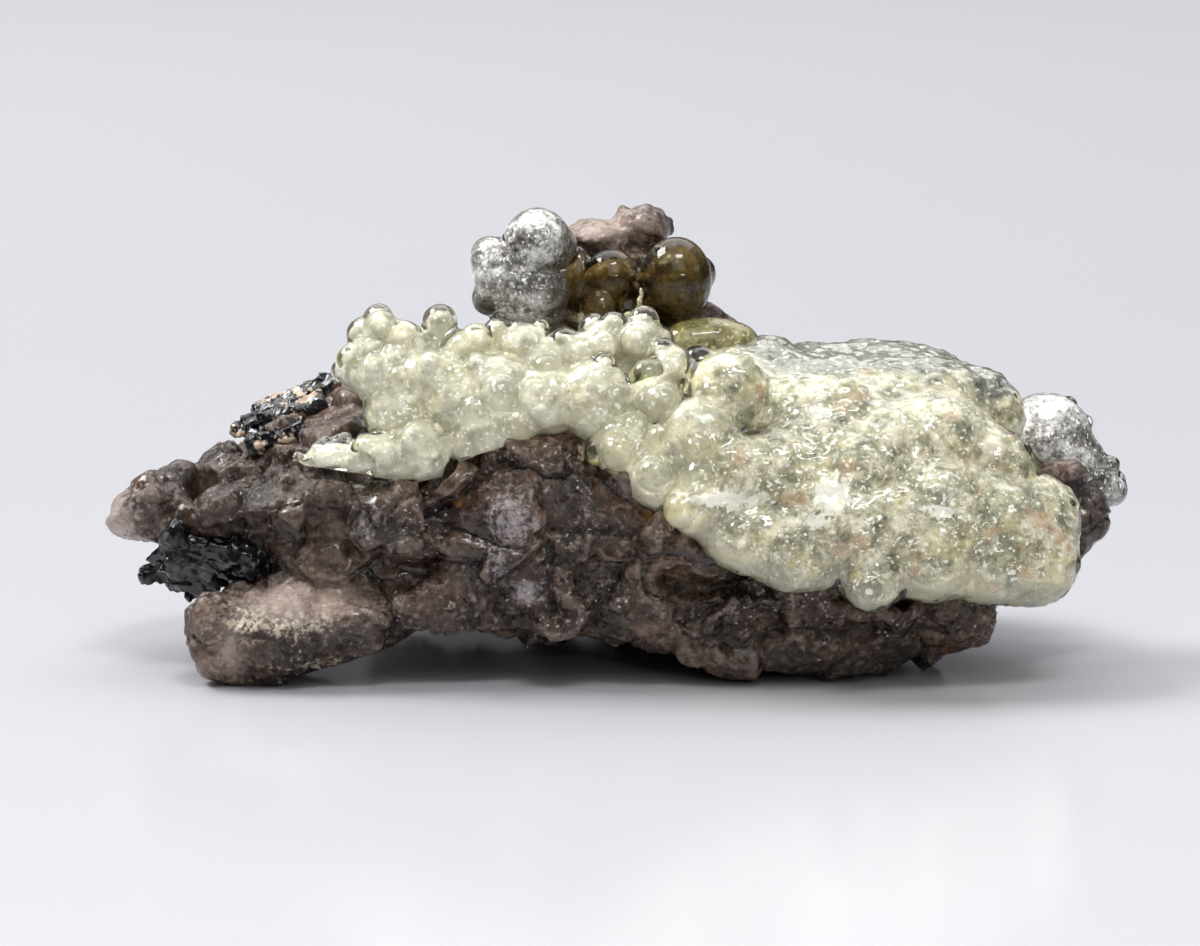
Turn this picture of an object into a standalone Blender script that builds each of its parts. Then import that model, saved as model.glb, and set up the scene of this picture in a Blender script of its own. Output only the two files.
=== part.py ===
"""Hyalite opal specimen: pale green and clear globules of opal grown on a broken piece of smoky quartz.

Black schorl is caught in the quartz at the left. The specimen lies as it was laid down, on three low
places of the quartz. The origin is the middle of its footprint on that surface, +X runs along the
specimen and +Y away from the broken front. Every size in the tables is in millimetres.
"""

import bmesh
import bpy
from mathutils import Matrix, Vector, noise

MM = 0.001

# Driving dimensions, in millimetres
GAP = 0.3
ROCK_VOXEL = 0.5
OPAL_VOXEL = 0.35
SCHORL_VOXEL = 0.2
ROCK_TRIANGLES = 3400
SCHORL_TRIANGLES = 420
OPAL_TRIANGLES = {"knob": 500, "olive": 600, "lobes": 400, "crust": 2500}
REST_SLAB = (80.0, 80.0, 6.0)

# Rough relief of the quartz: (height, wavelength)
ROCK_RELIEF = ((0.34, 4.2), (0.2, 1.9))

# Principled values of each material: base colour, roughness, IOR, transmission weight
FINISHES = {
    "smoky_quartz": ((0.085, 0.062, 0.05), 0.42, 1.54, 0.0),
    "black_schorl": ((0.012, 0.012, 0.014), 0.35, 1.62, 0.0),
    "green_hyalite": ((0.6, 0.58, 0.43), 0.12, 1.46, 0.5),
    "clear_hyalite": ((0.8, 0.8, 0.78), 0.05, 1.46, 0.8),
    "olive_hyalite": ((0.22, 0.19, 0.07), 0.05, 1.46, 0.6),
}

# Corners of the blocks that the quartz is broken into
QUARTZ_BLOCKS = {
    "left_tip": (
        (-27.9, -1.6, 7.1), (-27.8, -0.6, 8.2), (-27.1, 0.0, 8.6), (-25.6, 0.0, 9.0),
        (-25.4, -3.0, 6.4), (-26.5, -2.6, 6.8), (-26.0, 3.0, 8.0), (-26.0, 3.0, 6.0),
    ),
    "left_arm": (
        (-26.0, -1.0, 9.0), (-25.0, 0.0, 9.8), (-22.7, 1.0, 10.5), (-21.0, 2.0, 11.0),
        (-15.3, 2.0, 11.6), (-25.0, -3.0, 6.1), (-19.6, -5.0, 6.4), (-14.4, -7.0, 4.9),
        (-24.4, -5.4, 8.2), (-20.8, -6.8, 9.4), (-17.0, -8.3, 9.6), (-11.6, -9.0, 9.8),
        (-25.6, 4.6, 7.6), (-20.7, 8.0, 9.2), (-15.7, 10.0, 10.2), (-24.2, 4.0, 6.6),
        (-15.0, 5.0, 2.6), (-7.0, -8.6, 9.6), (-7.0, -8.0, 4.8), (-7.0, 8.0, 11.0),
        (-7.0, 6.0, 3.0),
    ),
    "upper_slope": (
        (-20.7, 1.0, 10.6), (-19.2, 3.6, 12.4), (-17.5, 4.6, 12.9), (-15.2, 4.0, 14.3),
        (-14.1, 0.0, 14.2), (-10.3, 0.0, 16.2), (-17.7, -4.0, 11.8), (-11.7, -7.0, 11.0),
        (-9.6, -5.0, 14.2), (-19.1, 9.4, 11.6), (-15.4, 10.6, 13.2), (-10.5, 8.0, 14.7),
    ),
    "foot": (
        (-20.6, -7.0, 5.2), (-18.7, -7.0, 5.6), (-14.9, -8.0, 5.0), (-11.7, -9.0, 4.6),
        (-8.8, -8.0, 3.7), (-22.0, -8.0, 4.5), (-22.9, -9.0, 3.3), (-22.9, -9.0, 2.1),
        (-22.0, -9.3, 0.4), (-21.2, -9.3, -0.2), (-18.7, -9.4, -0.2), (-16.8, -9.4, 0.3),
        (-14.9, -8.9, 1.2), (-11.7, -8.0, 2.3), (-20.6, -11.0, 2.8), (-16.9, -11.3, 3.7),
        (-14.3, -10.9, 4.1), (-21.1, -3.0, 3.6), (-17.3, -3.0, 3.6), (-21.6, -5.4, -0.2),
        (-18.0, -5.4, -0.2), (-11.9, -3.0, 2.8), (-7.0, -8.8, 5.4), (-7.0, -7.8, 3.4),
        (-7.0, -4.0, 5.6),
    ),
    "centre": (
        (-9.5, -9.0, 10.9), (-7.9, -8.0, 12.2), (-3.9, -8.8, 13.0), (-1.0, -9.3, 11.7),
        (1.1, -10.2, 9.2), (4.3, -10.8, 7.2), (-6.3, -10.0, 7.0), (-4.2, -9.5, 4.3),
        (-9.0, -9.0, 4.6), (-6.4, -8.0, 3.3), (-10.8, -9.0, 9.8), (-12.5, 9.0, 13.0),
        (-11.5, 11.0, 5.0), (2.0, -4.0, 14.6), (4.0, 6.0, 15.6), (5.0, 11.0, 8.0),
        (-9.0, 2.0, 3.0), (4.0, 8.0, 2.0),
    ),
    "base": (
        (-6.3, -9.4, 4.5), (-1.5, -10.4, 5.3), (5.3, -11.3, 5.4), (12.2, -10.8, 4.8),
        (16.2, -9.8, 4.1), (-7.2, -8.0, 2.8), (-4.8, -8.8, 3.1), (-1.0, -9.3, 2.6),
        (4.3, -9.6, 1.9), (9.6, -9.3, 1.8), (12.9, -8.6, 0.9), (15.1, -7.8, 0.7),
        (17.0, -7.8, 1.5), (10.6, -6.6, -0.2), (14.6, -6.6, -0.2), (14.4, -3.6, -0.2),
        (10.8, -3.4, -0.2), (18.0, 4.0, 3.0), (15.0, 9.0, 4.0), (-6.0, 4.0, 2.2),
    ),
    "ridge": (
        (-12.0, -3.6, 16.2), (-8.0, -4.0, 16.5), (3.0, -4.2, 16.3), (7.0, -3.0, 15.2),
        (-12.0, 3.0, 15.4), (7.0, 3.6, 15.4), (-7.2, -2.0, 17.5), (-2.6, -1.8, 17.6),
        (4.0, -0.6, 16.6), (-7.0, 2.6, 17.8), (-3.0, 3.0, 19.4), (-11.0, -3.0, 11.0),
        (6.0, -3.0, 11.0), (-11.0, 4.0, 11.0), (7.0, 4.0, 11.0),
    ),
    "back_foot": (
        (-3.0, 4.0, 3.0), (8.0, 4.0, 3.0), (9.0, 12.4, 5.0), (-4.6, 12.0, 4.6),
        (0.0, 8.2, -0.2), (4.6, 8.0, -0.2), (4.2, 10.8, -0.2), (0.6, 10.8, -0.2),
    ),
    "right_tip": (
        (15.4, -9.8, 4.6), (18.1, -9.9, 4.8), (19.9, -9.0, 4.5), (20.6, -8.8, 3.6),
        (20.4, -8.7, 2.5), (19.0, -8.8, 1.6), (17.4, -8.7, 1.8), (20.0, -4.0, 3.0),
        (19.8, -4.0, 1.6), (15.0, -4.0, 1.4), (15.0, -4.0, 4.6),
    ),
    "right_body": (
        (3.0, -7.6, 12.6), (9.0, -6.6, 12.4), (14.0, -6.8, 12.0), (19.0, -5.0, 10.6),
        (6.0, -10.4, 6.6), (12.0, -11.0, 6.2), (17.0, -10.0, 5.6), (20.5, -8.0, 5.2),
        (8.6, 0.6, 14.4), (17.0, 0.4, 14.2), (5.0, 11.6, 12.4), (14.0, 11.4, 11.6),
        (19.6, 6.6, 8.6), (16.0, 9.4, 3.6), (4.0, 12.6, 4.4),
    ),
    "wedge": (
        (22.0, -2.0, 10.9), (24.9, -3.0, 9.3), (26.6, -3.8, 8.1), (25.1, -4.0, 6.8),
        (25.1, -4.0, 5.8), (24.3, -4.8, 4.9), (22.3, -7.4, 8.4), (22.0, -7.8, 4.8),
        (18.6, -5.0, 10.2), (18.0, -4.0, 3.0), (22.6, 4.6, 8.6), (18.4, 6.6, 9.4),
        (23.6, 1.4, 5.4), (17.6, 6.6, 4.0),
    ),
    "peak": (
        (-2.2, 2.0, 22.2), (-1.0, 3.0, 22.7), (2.9, 3.0, 22.0), (5.1, 3.0, 19.4),
        (6.0, 3.0, 17.4), (4.5, 1.6, 15.0), (-2.8, 1.0, 15.0), (0.6, 0.4, 21.4),
        (-1.6, 7.4, 20.4), (2.6, 8.4, 20.6), (8.0, 9.4, 14.0), (-5.0, 10.0, 14.0),
        (9.0, 4.0, 14.0), (-6.0, 3.0, 14.6),
    ),
    "peak_top": (
        (0.3, 3.6, 23.2), (0.7, 4.0, 23.6), (1.5, 4.0, 23.7), (2.3, 4.0, 23.2),
        (2.9, 3.4, 22.0), (0.0, 3.0, 21.6), (0.4, 6.4, 22.4), (2.4, 6.4, 22.4),
        (2.6, 6.6, 20.6), (0.0, 6.6, 20.6),
    ),
    "back_slope": (
        (-17.0, 8.0, 8.6), (-14.4, 12.6, 9.6), (-8.0, 13.8, 9.0), (2.0, 14.0, 8.6),
        (10.0, 13.2, 8.0), (17.0, 9.6, 7.0), (-10.0, 8.0, 15.6), (-2.0, 10.0, 16.4),
        (8.0, 9.4, 14.2), (-12.6, 9.0, 4.4), (0.0, 12.4, 4.6), (12.0, 10.0, 4.4),
        (-6.0, 0.0, 12.0), (8.0, 0.0, 12.0),
    ),
}

# The hollow in the face of the peak: centre, radii
PEAK_HOLLOW = ((0.7, 1.2, 22.2), (1.15, 1.6, 0.55))

# Columns of schorl: start, end, radius, number of sides
LOWER_SCHORL = (
    ((-26.1, -2.6, 5.0), (-21.4, -3.2, 5.6), 1.15, 6),
    ((-24.9, -3.9, 6.2), (-18.6, -4.9, 6.0), 1.5, 7),
    ((-24.2, -3.6, 4.9), (-21.6, -4.2, 4.7), 0.85, 6),
    ((-22.9, -5.0, 7.0), (-19.6, -6.0, 6.2), 0.9, 6),
    ((-24.9, -4.6, 6.2), (-24.2, -6.0, 8.2), 0.75, 6),
    ((-22.6, -1.0, 5.2), (-19.6, -1.4, 5.2), 1.2, 6),
)
UPPER_SCHORL = (
    ((-21.5, 2.4, 11.9), (-17.8, 3.2, 13.2), 1.2, 6),
    ((-21.2, 0.8, 11.6), (-17.6, 0.2, 12.6), 1.0, 7),
    ((-20.2, 3.6, 12.9), (-15.4, 3.8, 14.9), 0.9, 6),
    ((-20.8, 4.2, 12.2), (-16.6, 6.6, 13.7), 1.2, 6),
    ((-19.8, 1.6, 12.6), (-16.6, 2.4, 13.8), 0.9, 6),
    ((-18.6, 5.2, 13.4), (-15.2, 6.0, 14.4), 0.8, 6),
)

# Globules of opal: centre, radii
FRONT_CRUST = (
    ((-16.2, -6.6, 11.9), (1.6, 1.1, 0.55)),
    ((-14.4, -7.0, 12.2), (1.8, 1.2, 0.75)),
    ((-12.4, -7.8, 12.5), (1.9, 1.2, 1.0)),
    ((-10.6, -8.2, 13.0), (1.5, 1.2, 1.2)),
    ((-13.9, -4.6, 16.4), (1.2, 1.4, 1.2)),
    ((-13.5, -4.8, 17.3), (1.1, 1.2, 1.1)),
    ((-12.8, -4.6, 18.2), (1.2, 1.3, 1.2)),
    ((-11.6, -5.4, 18.0), (1.2, 1.2, 1.2)),
    ((-12.4, -5.8, 16.0), (1.8, 1.7, 1.6)),
    ((-11.8, -6.6, 14.4), (1.9, 1.6, 1.6)),
    ((-10.2, -6.4, 16.2), (1.8, 1.6, 1.5)),
    ((-9.6, -4.8, 19.0), (0.95, 0.95, 0.95)),
    ((-9.7, -5.0, 17.8), (0.5, 0.5, 1.0)),
    ((-8.2, -5.4, 17.6), (1.2, 1.3, 1.1)),
    ((-8.6, -6.8, 14.9), (2.1, 1.8, 1.9)),
    ((-6.3, -5.0, 17.8), (1.2, 1.3, 1.1)),
    ((-6.4, -7.0, 15.6), (2.1, 2.0, 2.0)),
    ((-4.9, -5.4, 17.9), (1.3, 1.3, 1.15)),
    ((-3.6, -6.0, 17.3), (1.3, 1.3, 1.2)),
    ((-3.8, -7.4, 15.2), (2.1, 2.0, 1.9)),
    ((-2.2, -6.2, 17.4), (1.4, 1.3, 1.3)),
    ((-0.8, -5.6, 18.0), (1.3, 1.3, 1.3)),
    ((1.2, -5.4, 18.0), (1.35, 1.3, 1.4)),
    ((-1.2, -7.8, 15.2), (2.1, 1.9, 2.2)),
    ((0.4, -8.6, 13.0), (2.0, 1.9, 1.9)),
    ((1.8, -8.2, 15.4), (1.5, 1.6, 1.5)),
    ((2.8, -7.2, 16.8), (1.2, 1.4, 1.3)),
    ((2.0, -9.6, 11.4), (1.7, 1.7, 1.9)),
    ((4.2, -9.4, 13.4), (2.3, 2.0, 2.2)),
    ((5.7, -8.0, 15.9), (2.0, 1.9, 1.9)),
    ((4.6, -10.6, 10.2), (2.2, 1.8, 2.0)),
    ((6.4, -11.2, 8.4), (2.0, 1.7, 1.8)),
    ((6.0, -4.4, 15.9), (2.4, 2.4, 1.6)),
    ((8.0, -2.6, 16.6), (1.2, 1.6, 1.2)),
    ((9.0, -3.8, 15.3), (2.3, 2.3, 1.6)),
    ((11.6, -3.2, 15.2), (2.4, 2.4, 1.5)),
    ((15.0, -2.4, 15.3), (2.3, 2.3, 1.4)),
    ((9.4, -6.4, 14.2), (2.3, 2.3, 2.0)),
    ((10.4, -0.6, 15.6), (2.3, 2.2, 1.5)),
    ((13.6, 0.0, 15.7), (2.5, 2.2, 1.5)),
    ((16.4, -0.6, 15.4), (2.3, 2.2, 1.5)),
    ((11.8, -7.0, 14.0), (2.3, 2.2, 2.2)),
    ((14.2, -4.6, 14.6), (2.4, 2.3, 1.9)),
    ((17.2, -3.6, 14.6), (2.4, 2.2, 1.9)),
    ((19.4, -2.0, 14.2), (1.8, 1.9, 1.8)),
    ((20.5, -2.8, 13.4), (1.4, 1.8, 1.6)),
    ((16.8, -7.2, 12.9), (2.5, 2.3, 2.4)),
    ((8.6, -9.6, 11.2), (2.5, 2.2, 2.4)),
    ((12.8, -9.4, 11.4), (2.6, 2.3, 2.5)),
    ((16.8, -9.8, 10.0), (2.5, 2.2, 2.4)),
    ((19.8, -7.2, 11.3), (2.3, 2.1, 2.3)),
    ((19.8, -9.2, 8.8), (2.4, 2.3, 2.3)),
    ((8.6, -11.2, 8.0), (2.2, 1.9, 2.1)),
    ((12.4, -11.2, 8.5), (2.5, 2.0, 2.3)),
    ((16.4, -11.0, 7.2), (2.5, 2.1, 2.2)),
    ((13.3, -12.3, 6.2), (1.5, 1.5, 1.5)),
    ((19.8, -10.2, 6.6), (2.3, 1.9, 1.9)),
    ((22.1, -9.2, 6.7), (2.3, 2.0, 2.3)),
    ((22.7, -7.4, 8.8), (1.9, 2.0, 2.2)),
    ((9.8, -11.6, 6.9), (1.6, 1.4, 1.1)),
)
CLEAR_KNOB = (
    ((-4.4, -1.4, 22.7), (1.9, 2.0, 2.0)),
    ((-7.0, -1.4, 22.1), (1.05, 1.2, 1.05)),
    ((-6.2, -1.6, 21.2), (1.7, 1.8, 1.7)),
    ((-7.1, -1.8, 19.8), (0.85, 1.0, 0.85)),
    ((-3.3, -0.6, 22.6), (1.0, 1.2, 1.0)),
    ((-4.8, -1.6, 20.2), (2.2, 1.9, 1.9)),
    ((-5.0, -1.4, 18.9), (2.0, 1.6, 1.5)),
    ((-4.6, 0.8, 19.6), (2.0, 1.8, 2.4)),
)
OLIVE_GLOBULES = (
    ((2.9, -0.8, 20.4), (1.95, 2.0, 2.1)),
    ((3.2, 0.6, 22.0), (1.15, 1.2, 1.1)),
    ((4.3, 0.6, 21.2), (1.0, 1.2, 1.2)),
    ((-0.4, 0.0, 20.8), (1.3, 1.4, 1.35)),
    ((-1.0, -1.2, 19.3), (1.0, 1.2, 1.0)),
    ((-2.2, 0.4, 20.2), (0.9, 1.2, 2.2)),
    ((0.4, 0.0, 18.8), (1.6, 1.5, 1.3)),
    ((4.4, -1.0, 17.5), (2.0, 1.5, 1.1)),
    ((6.0, -1.0, 17.4), (1.5, 1.4, 1.05)),
)
RIGHT_LOBES = (
    ((23.4, 1.0, 11.6), (2.6, 2.6, 2.6)),
    ((24.9, 0.8, 10.4), (1.8, 2.0, 1.7)),
    ((26.0, 0.6, 9.4), (1.4, 1.5, 1.3)),
    ((27.0, 0.4, 8.9), (0.9, 1.0, 0.9)),
    ((26.8, 0.6, 10.2), (0.55, 0.6, 0.5)),
)
GLOBULES = {
    "knob": CLEAR_KNOB,
    "olive": OLIVE_GLOBULES,
    "lobes": RIGHT_LOBES,
    "crust": FRONT_CRUST,
}


def clear_scene():
    """Removes whatever the scene holds."""
    for obj in list(bpy.data.objects):
        bpy.data.objects.remove(obj, do_unlink=True)


def new_collection(name, helpers=False):
    """A collection in the scene. Helper solids are wire frames that never render."""
    collection = bpy.data.collections.new(name)
    bpy.context.scene.collection.children.link(collection)
    collection.hide_render = helpers
    return collection


def new_object(name, bm, collection):
    """An object made from the bmesh, which is used up."""
    mesh = bpy.data.meshes.new(name)
    bmesh.ops.recalc_face_normals(bm, faces=bm.faces)
    bm.to_mesh(mesh)
    bm.free()
    obj = bpy.data.objects.new(name, mesh)
    collection.objects.link(obj)
    if collection.hide_render:
        obj.hide_render = True
        obj.display_type = "WIRE"
    return obj


def apply_modifiers(obj):
    """Puts the evaluated shape in the object's own mesh."""
    bpy.context.view_layer.update()
    graph = bpy.context.evaluated_depsgraph_get()
    mesh = bpy.data.meshes.new_from_object(obj.evaluated_get(graph))
    old = obj.data
    obj.modifiers.clear()
    obj.data = mesh
    mesh.name = obj.name
    bpy.data.meshes.remove(old)


def finish_material(name):
    """A Principled material from the table of finishes."""
    material = bpy.data.materials.get(name) or bpy.data.materials.new(name)
    colour, roughness, ior, transmission = FINISHES[name]
    material.use_nodes = True
    shader = material.node_tree.nodes["Principled BSDF"]
    shader.inputs["Base Color"].default_value = (*colour, 1.0)
    shader.inputs["Roughness"].default_value = roughness
    shader.inputs["Metallic"].default_value = 0.0
    shader.inputs["IOR"].default_value = ior
    shader.inputs["Transmission Weight"].default_value = transmission
    material.diffuse_color = (*colour, 1.0)
    return material


def add_block(bm, corners):
    """The convex block that spans its corners."""
    block = bmesh.new()
    for corner in corners:
        block.verts.new(Vector(corner) * MM)
    hull = bmesh.ops.convex_hull(block, input=block.verts)
    inside = [item for item in hull["geom_interior"] if isinstance(item, bmesh.types.BMVert)]
    bmesh.ops.delete(block, geom=inside, context="VERTS")
    mesh = bpy.data.meshes.new("block")
    block.to_mesh(mesh)
    block.free()
    bm.from_mesh(mesh)
    bpy.data.meshes.remove(mesh)


def add_globule(bm, centre, radii):
    """An ellipsoid with its own radius along each axis."""
    scale = Matrix.Diagonal([radius * MM for radius in radii] + [1.0])
    place = Matrix.Translation(Vector(centre) * MM)
    bmesh.ops.create_icosphere(bm, subdivisions=3, radius=1.0, matrix=place @ scale)


def add_column(bm, start, end, radius, sides):
    """A straight column with flat ends."""
    start, end = Vector(start) * MM, Vector(end) * MM
    along = end - start
    turn = along.to_track_quat("Z", "Y").to_matrix().to_4x4()
    place = Matrix.Translation((start + end) / 2) @ turn
    bmesh.ops.create_cone(
        bm, cap_ends=True, segments=sides, radius1=radius * MM, radius2=radius * 0.8 * MM,
        depth=along.length, matrix=place,
    )


def fuse(obj, voxel):
    """Joins the object's overlapping solids into one skin."""
    remesh = obj.modifiers.new("fuse", "REMESH")
    remesh.mode = "VOXEL"
    remesh.voxel_size = voxel * MM
    apply_modifiers(obj)


def roughen(obj, relief):
    """Raises and lowers the skin by smooth noise, as (height, wavelength) in millimetres."""
    mesh = obj.data
    normals = [vertex.normal.copy() for vertex in mesh.vertices]
    for vertex, normal in zip(mesh.vertices, normals):
        place = vertex.co / MM
        lift = sum(height * noise.noise(place / wavelength) for height, wavelength in relief)
        vertex.co += normal * lift * MM
    mesh.update()


def reduce_to(obj, triangles):
    """Thins the mesh out to about this many triangles."""
    have = sum(len(polygon.vertices) - 2 for polygon in obj.data.polygons)
    if have <= triangles:
        return
    decimate = obj.modifiers.new("reduce", "DECIMATE")
    decimate.ratio = triangles / have
    decimate.use_collapse_triangulate = True
    apply_modifiers(obj)


def cut(obj, cutter):
    """Takes the cutter away from the object."""
    boolean = obj.modifiers.new("cut", "BOOLEAN")
    boolean.operation = "DIFFERENCE"
    boolean.solver = "MANIFOLD"
    boolean.object = cutter
    apply_modifiers(obj)


def swollen(obj, collection):
    """A copy that stands proud of the object by the gap that neighbours keep."""
    bm = bmesh.new()
    bm.from_mesh(obj.data)
    bm.normal_update()
    offsets = [vert.normal * vert.calc_shell_factor() * GAP * MM for vert in bm.verts]
    for vert, offset in zip(bm.verts, offsets):
        vert.co += offset
    return new_object(obj.name + "_clearance", bm, collection)


def keep_largest(obj):
    """Drops crumbs that a cut left loose."""
    bm = bmesh.new()
    bm.from_mesh(obj.data)
    left = set(bm.verts)
    islands = []
    while left:
        seed = left.pop()
        island, front = {seed}, [seed]
        while front:
            for edge in front.pop().link_edges:
                for vert in edge.verts:
                    if vert in left:
                        left.remove(vert)
                        island.add(vert)
                        front.append(vert)
        islands.append(island)
    main = max(islands, key=len)
    bmesh.ops.delete(bm, geom=[vert for vert in bm.verts if vert not in main], context="VERTS")
    bm.to_mesh(obj.data)
    bm.free()


def make_quartz(parts, cutters):
    """The smoky quartz: fused blocks with rough faces, a hollow in its peak and three flat rests."""
    bm = bmesh.new()
    for corners in QUARTZ_BLOCKS.values():
        add_block(bm, corners)
    quartz = new_object("smoky_quartz_matrix", bm, parts)
    fuse(quartz, ROCK_VOXEL)
    roughen(quartz, ROCK_RELIEF)

    bm = bmesh.new()
    add_globule(bm, *PEAK_HOLLOW)
    cut(quartz, new_object("peak_hollow", bm, cutters))
    reduce_to(quartz, ROCK_TRIANGLES)

    bm = bmesh.new()
    below = Matrix.Translation((0.0, 0.0, -REST_SLAB[2] / 2 * MM))
    slab = Matrix.Diagonal([side * MM for side in REST_SLAB] + [1.0])
    bmesh.ops.create_cube(bm, size=1.0, matrix=below @ slab)
    cut(quartz, new_object("rest_plane", bm, cutters))
    keep_largest(quartz)
    quartz.data.materials.append(finish_material("smoky_quartz"))
    return quartz


def make_schorl(name, columns, parts):
    """A clump of schorl columns grown into each other."""
    bm = bmesh.new()
    for column in columns:
        add_column(bm, *column)
    schorl = new_object(name, bm, parts)
    fuse(schorl, SCHORL_VOXEL)
    reduce_to(schorl, SCHORL_TRIANGLES)
    schorl.data.materials.append(finish_material("black_schorl"))
    return schorl


def make_opal(name, growth, material, parts):
    """One growth of opal: its globules fused into each other."""
    globules, triangles = GLOBULES[growth], OPAL_TRIANGLES[growth]
    bm = bmesh.new()
    for centre, radii in globules:
        add_globule(bm, centre, radii)
    opal = new_object(name, bm, parts)
    fuse(opal, OPAL_VOXEL)
    reduce_to(opal, triangles)
    opal.data.shade_smooth()
    opal.data.materials.append(finish_material(material))
    return opal


def main():
    clear_scene()
    parts = new_collection("hyalite_opal_specimen")
    cutters = new_collection("cutters", helpers=True)

    quartz = make_quartz(parts, cutters)
    grown_on_quartz = (
        make_schorl("schorl_lower", LOWER_SCHORL, parts),
        make_schorl("schorl_upper", UPPER_SCHORL, parts),
        make_opal("hyalite_clear_knob", "knob", "clear_hyalite", parts),
        make_opal("hyalite_olive_globules", "olive", "olive_hyalite", parts),
        make_opal("hyalite_right_lobes", "lobes", "clear_hyalite", parts),
        make_opal("hyalite_front_crust", "crust", "green_hyalite", parts),
    )

    # What grew later gives way to what it grew on.
    finished = [swollen(quartz, cutters)]
    for piece in grown_on_quartz:
        for neighbour in finished:
            cut(piece, neighbour)
        keep_largest(piece)
        finished.append(swollen(piece, cutters))


main()
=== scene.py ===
"""Looks of the hyalite opal specimen: glassy opal globules over broken smoky quartz with black schorl.

Tables are in millimetres, in the frame's axes: +X along the specimen, +Y away from the camera.
"""

import itertools
import math

import bmesh
import bpy
import numpy as np
from mathutils import Matrix, Vector, noise


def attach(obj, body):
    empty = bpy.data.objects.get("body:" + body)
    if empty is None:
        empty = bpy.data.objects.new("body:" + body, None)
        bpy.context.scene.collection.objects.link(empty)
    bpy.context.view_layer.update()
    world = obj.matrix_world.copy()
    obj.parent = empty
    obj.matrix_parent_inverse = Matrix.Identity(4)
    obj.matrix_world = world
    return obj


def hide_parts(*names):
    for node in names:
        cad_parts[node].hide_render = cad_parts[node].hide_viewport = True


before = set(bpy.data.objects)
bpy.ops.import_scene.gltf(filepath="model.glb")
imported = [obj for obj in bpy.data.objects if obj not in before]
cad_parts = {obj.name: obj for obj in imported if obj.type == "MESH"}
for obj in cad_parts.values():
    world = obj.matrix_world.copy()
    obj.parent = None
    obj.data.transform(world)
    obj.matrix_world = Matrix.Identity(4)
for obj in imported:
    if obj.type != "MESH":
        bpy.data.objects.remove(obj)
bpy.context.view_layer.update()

MM = 0.001

# Camera: the photograph's view, from a little above the table
CAMERA_ELEVATION = 10.0
CAMERA_DISTANCE = 300.0
CAMERA_TARGET = (-1.02, -5.0, 10.81)
FRAME_WIDTH = 64.56
SENSOR_WIDTH = 36.0

# The table: its shade near and far, paler far off as painted light, how far off the far one is, and its
# half width, in metres
NEAR_TABLE_SHADE = (0.63, 0.63, 0.665)
FAR_TABLE_LIT = (0.9, 0.9, 0.935)
FAR_DISTANCE = 0.45
TABLE_HALF_WIDTH = 1.6

# Daylight: its colour, the direction it comes from, and how its strength grows toward that
DAYLIGHT = (0.88, 0.89, 0.94, 1.0)
DAYLIGHT_FROM = (0.0, 0.3, 0.954)
DAYLIGHT_FADE = (("From Min", 0.3), ("From Max", 0.85), ("To Min", 0.06), ("To Max", 0.6))

# Soft boxes, in metres and watts: name, place, target, size, power
SPECIMEN = (0.0, 0.0, 0.01)
LAMPS = (
    ("left_box", (-0.4, 0.12, 0.52), SPECIMEN, (0.3, 0.22), 3.3),
    ("top_box", (-0.11, 0.14, 0.73), SPECIMEN, (0.34, 0.22), 0.5),
    ("front_box", (0.1, -0.29, 0.64), SPECIMEN, (0.26, 0.12), 1.5),
    ("fill", (0.1, -0.62, 0.62), SPECIMEN, (0.7, 0.5), 1.1),
    ("side_box", (0.6, -0.12, 0.22), SPECIMEN, (0.2, 0.12), 0.12),
    ("bar", (0.26, -0.6, 0.2), SPECIMEN, (0.18, 0.03), 0.25),
    ("back_box", (0.0, 1.0, 1.2), (0.0, 0.6, 0.0), (2.0, 1.2), 14.0),
)

# Mesh fineness
ROCK_VOXEL = 0.23
SCHORL_VOXEL = 0.09
CRUMB_VOXEL = 0.06

# Fillets between globules. The crust's change along x, from stop to stop of the span
CRUST_FILLET = (0.4, 0.12, 0.14, 0.5)
CRUST_HEART_FILLET = (0.2, 0.2, 0.2, 0.55)
CRUST_FILLET_SPAN = (-15.5, -13.5, 0.0, 8.0)
OPAL_FILLET = 0.16
BUD_FILLET = 0.07

# A growth's skin: voxel, fillet, wobble
SKINS = {
    "crust": (0.17, CRUST_FILLET, 0.05),
    "knob": (0.12, OPAL_FILLET, 0.03),
    "olive": (0.12, OPAL_FILLET, 0.02),
    "lobe": (0.12, OPAL_FILLET, 0.02),
    "right": (0.12, OPAL_FILLET, 0.03),
}

# A growth's heart: voxel, fillet, depth below the skin, how much the depth changes, relief of its facets
HEARTS = {
    "crust": (0.2, CRUST_HEART_FILLET, 0.5, 0.12, 0.16),
    "knob": (0.13, 0.3, 0.6, 0.15, 0.14),
    "olive": (0.14, 0.4, 0.9, 0.15, 0.1),
    "lobe": (0.14, 0.4, 0.55, 0.15, 0.1),
    "right": (0.14, 0.3, 0.6, 0.15, 0.12),
}

# Opal glass: tint, haze, the haze's density, roughness, coat
GLASS = {
    "green_hyalite": ((1.0, 0.995, 0.97), (0.86, 0.86, 0.62), 200.0, 0.16, 0.7),
    "clear_hyalite": ((1.0, 1.0, 1.0), (0.75, 0.76, 0.74), 100.0, 0.02, 0.0),
    "olive_hyalite": ((1.0, 1.0, 0.98), (0.62, 0.57, 0.15), 620.0, 0.015, 0.0),
    "light_olive_hyalite": ((1.0, 1.0, 0.97), (0.72, 0.72, 0.36), 450.0, 0.02, 0.0),
}

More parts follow.
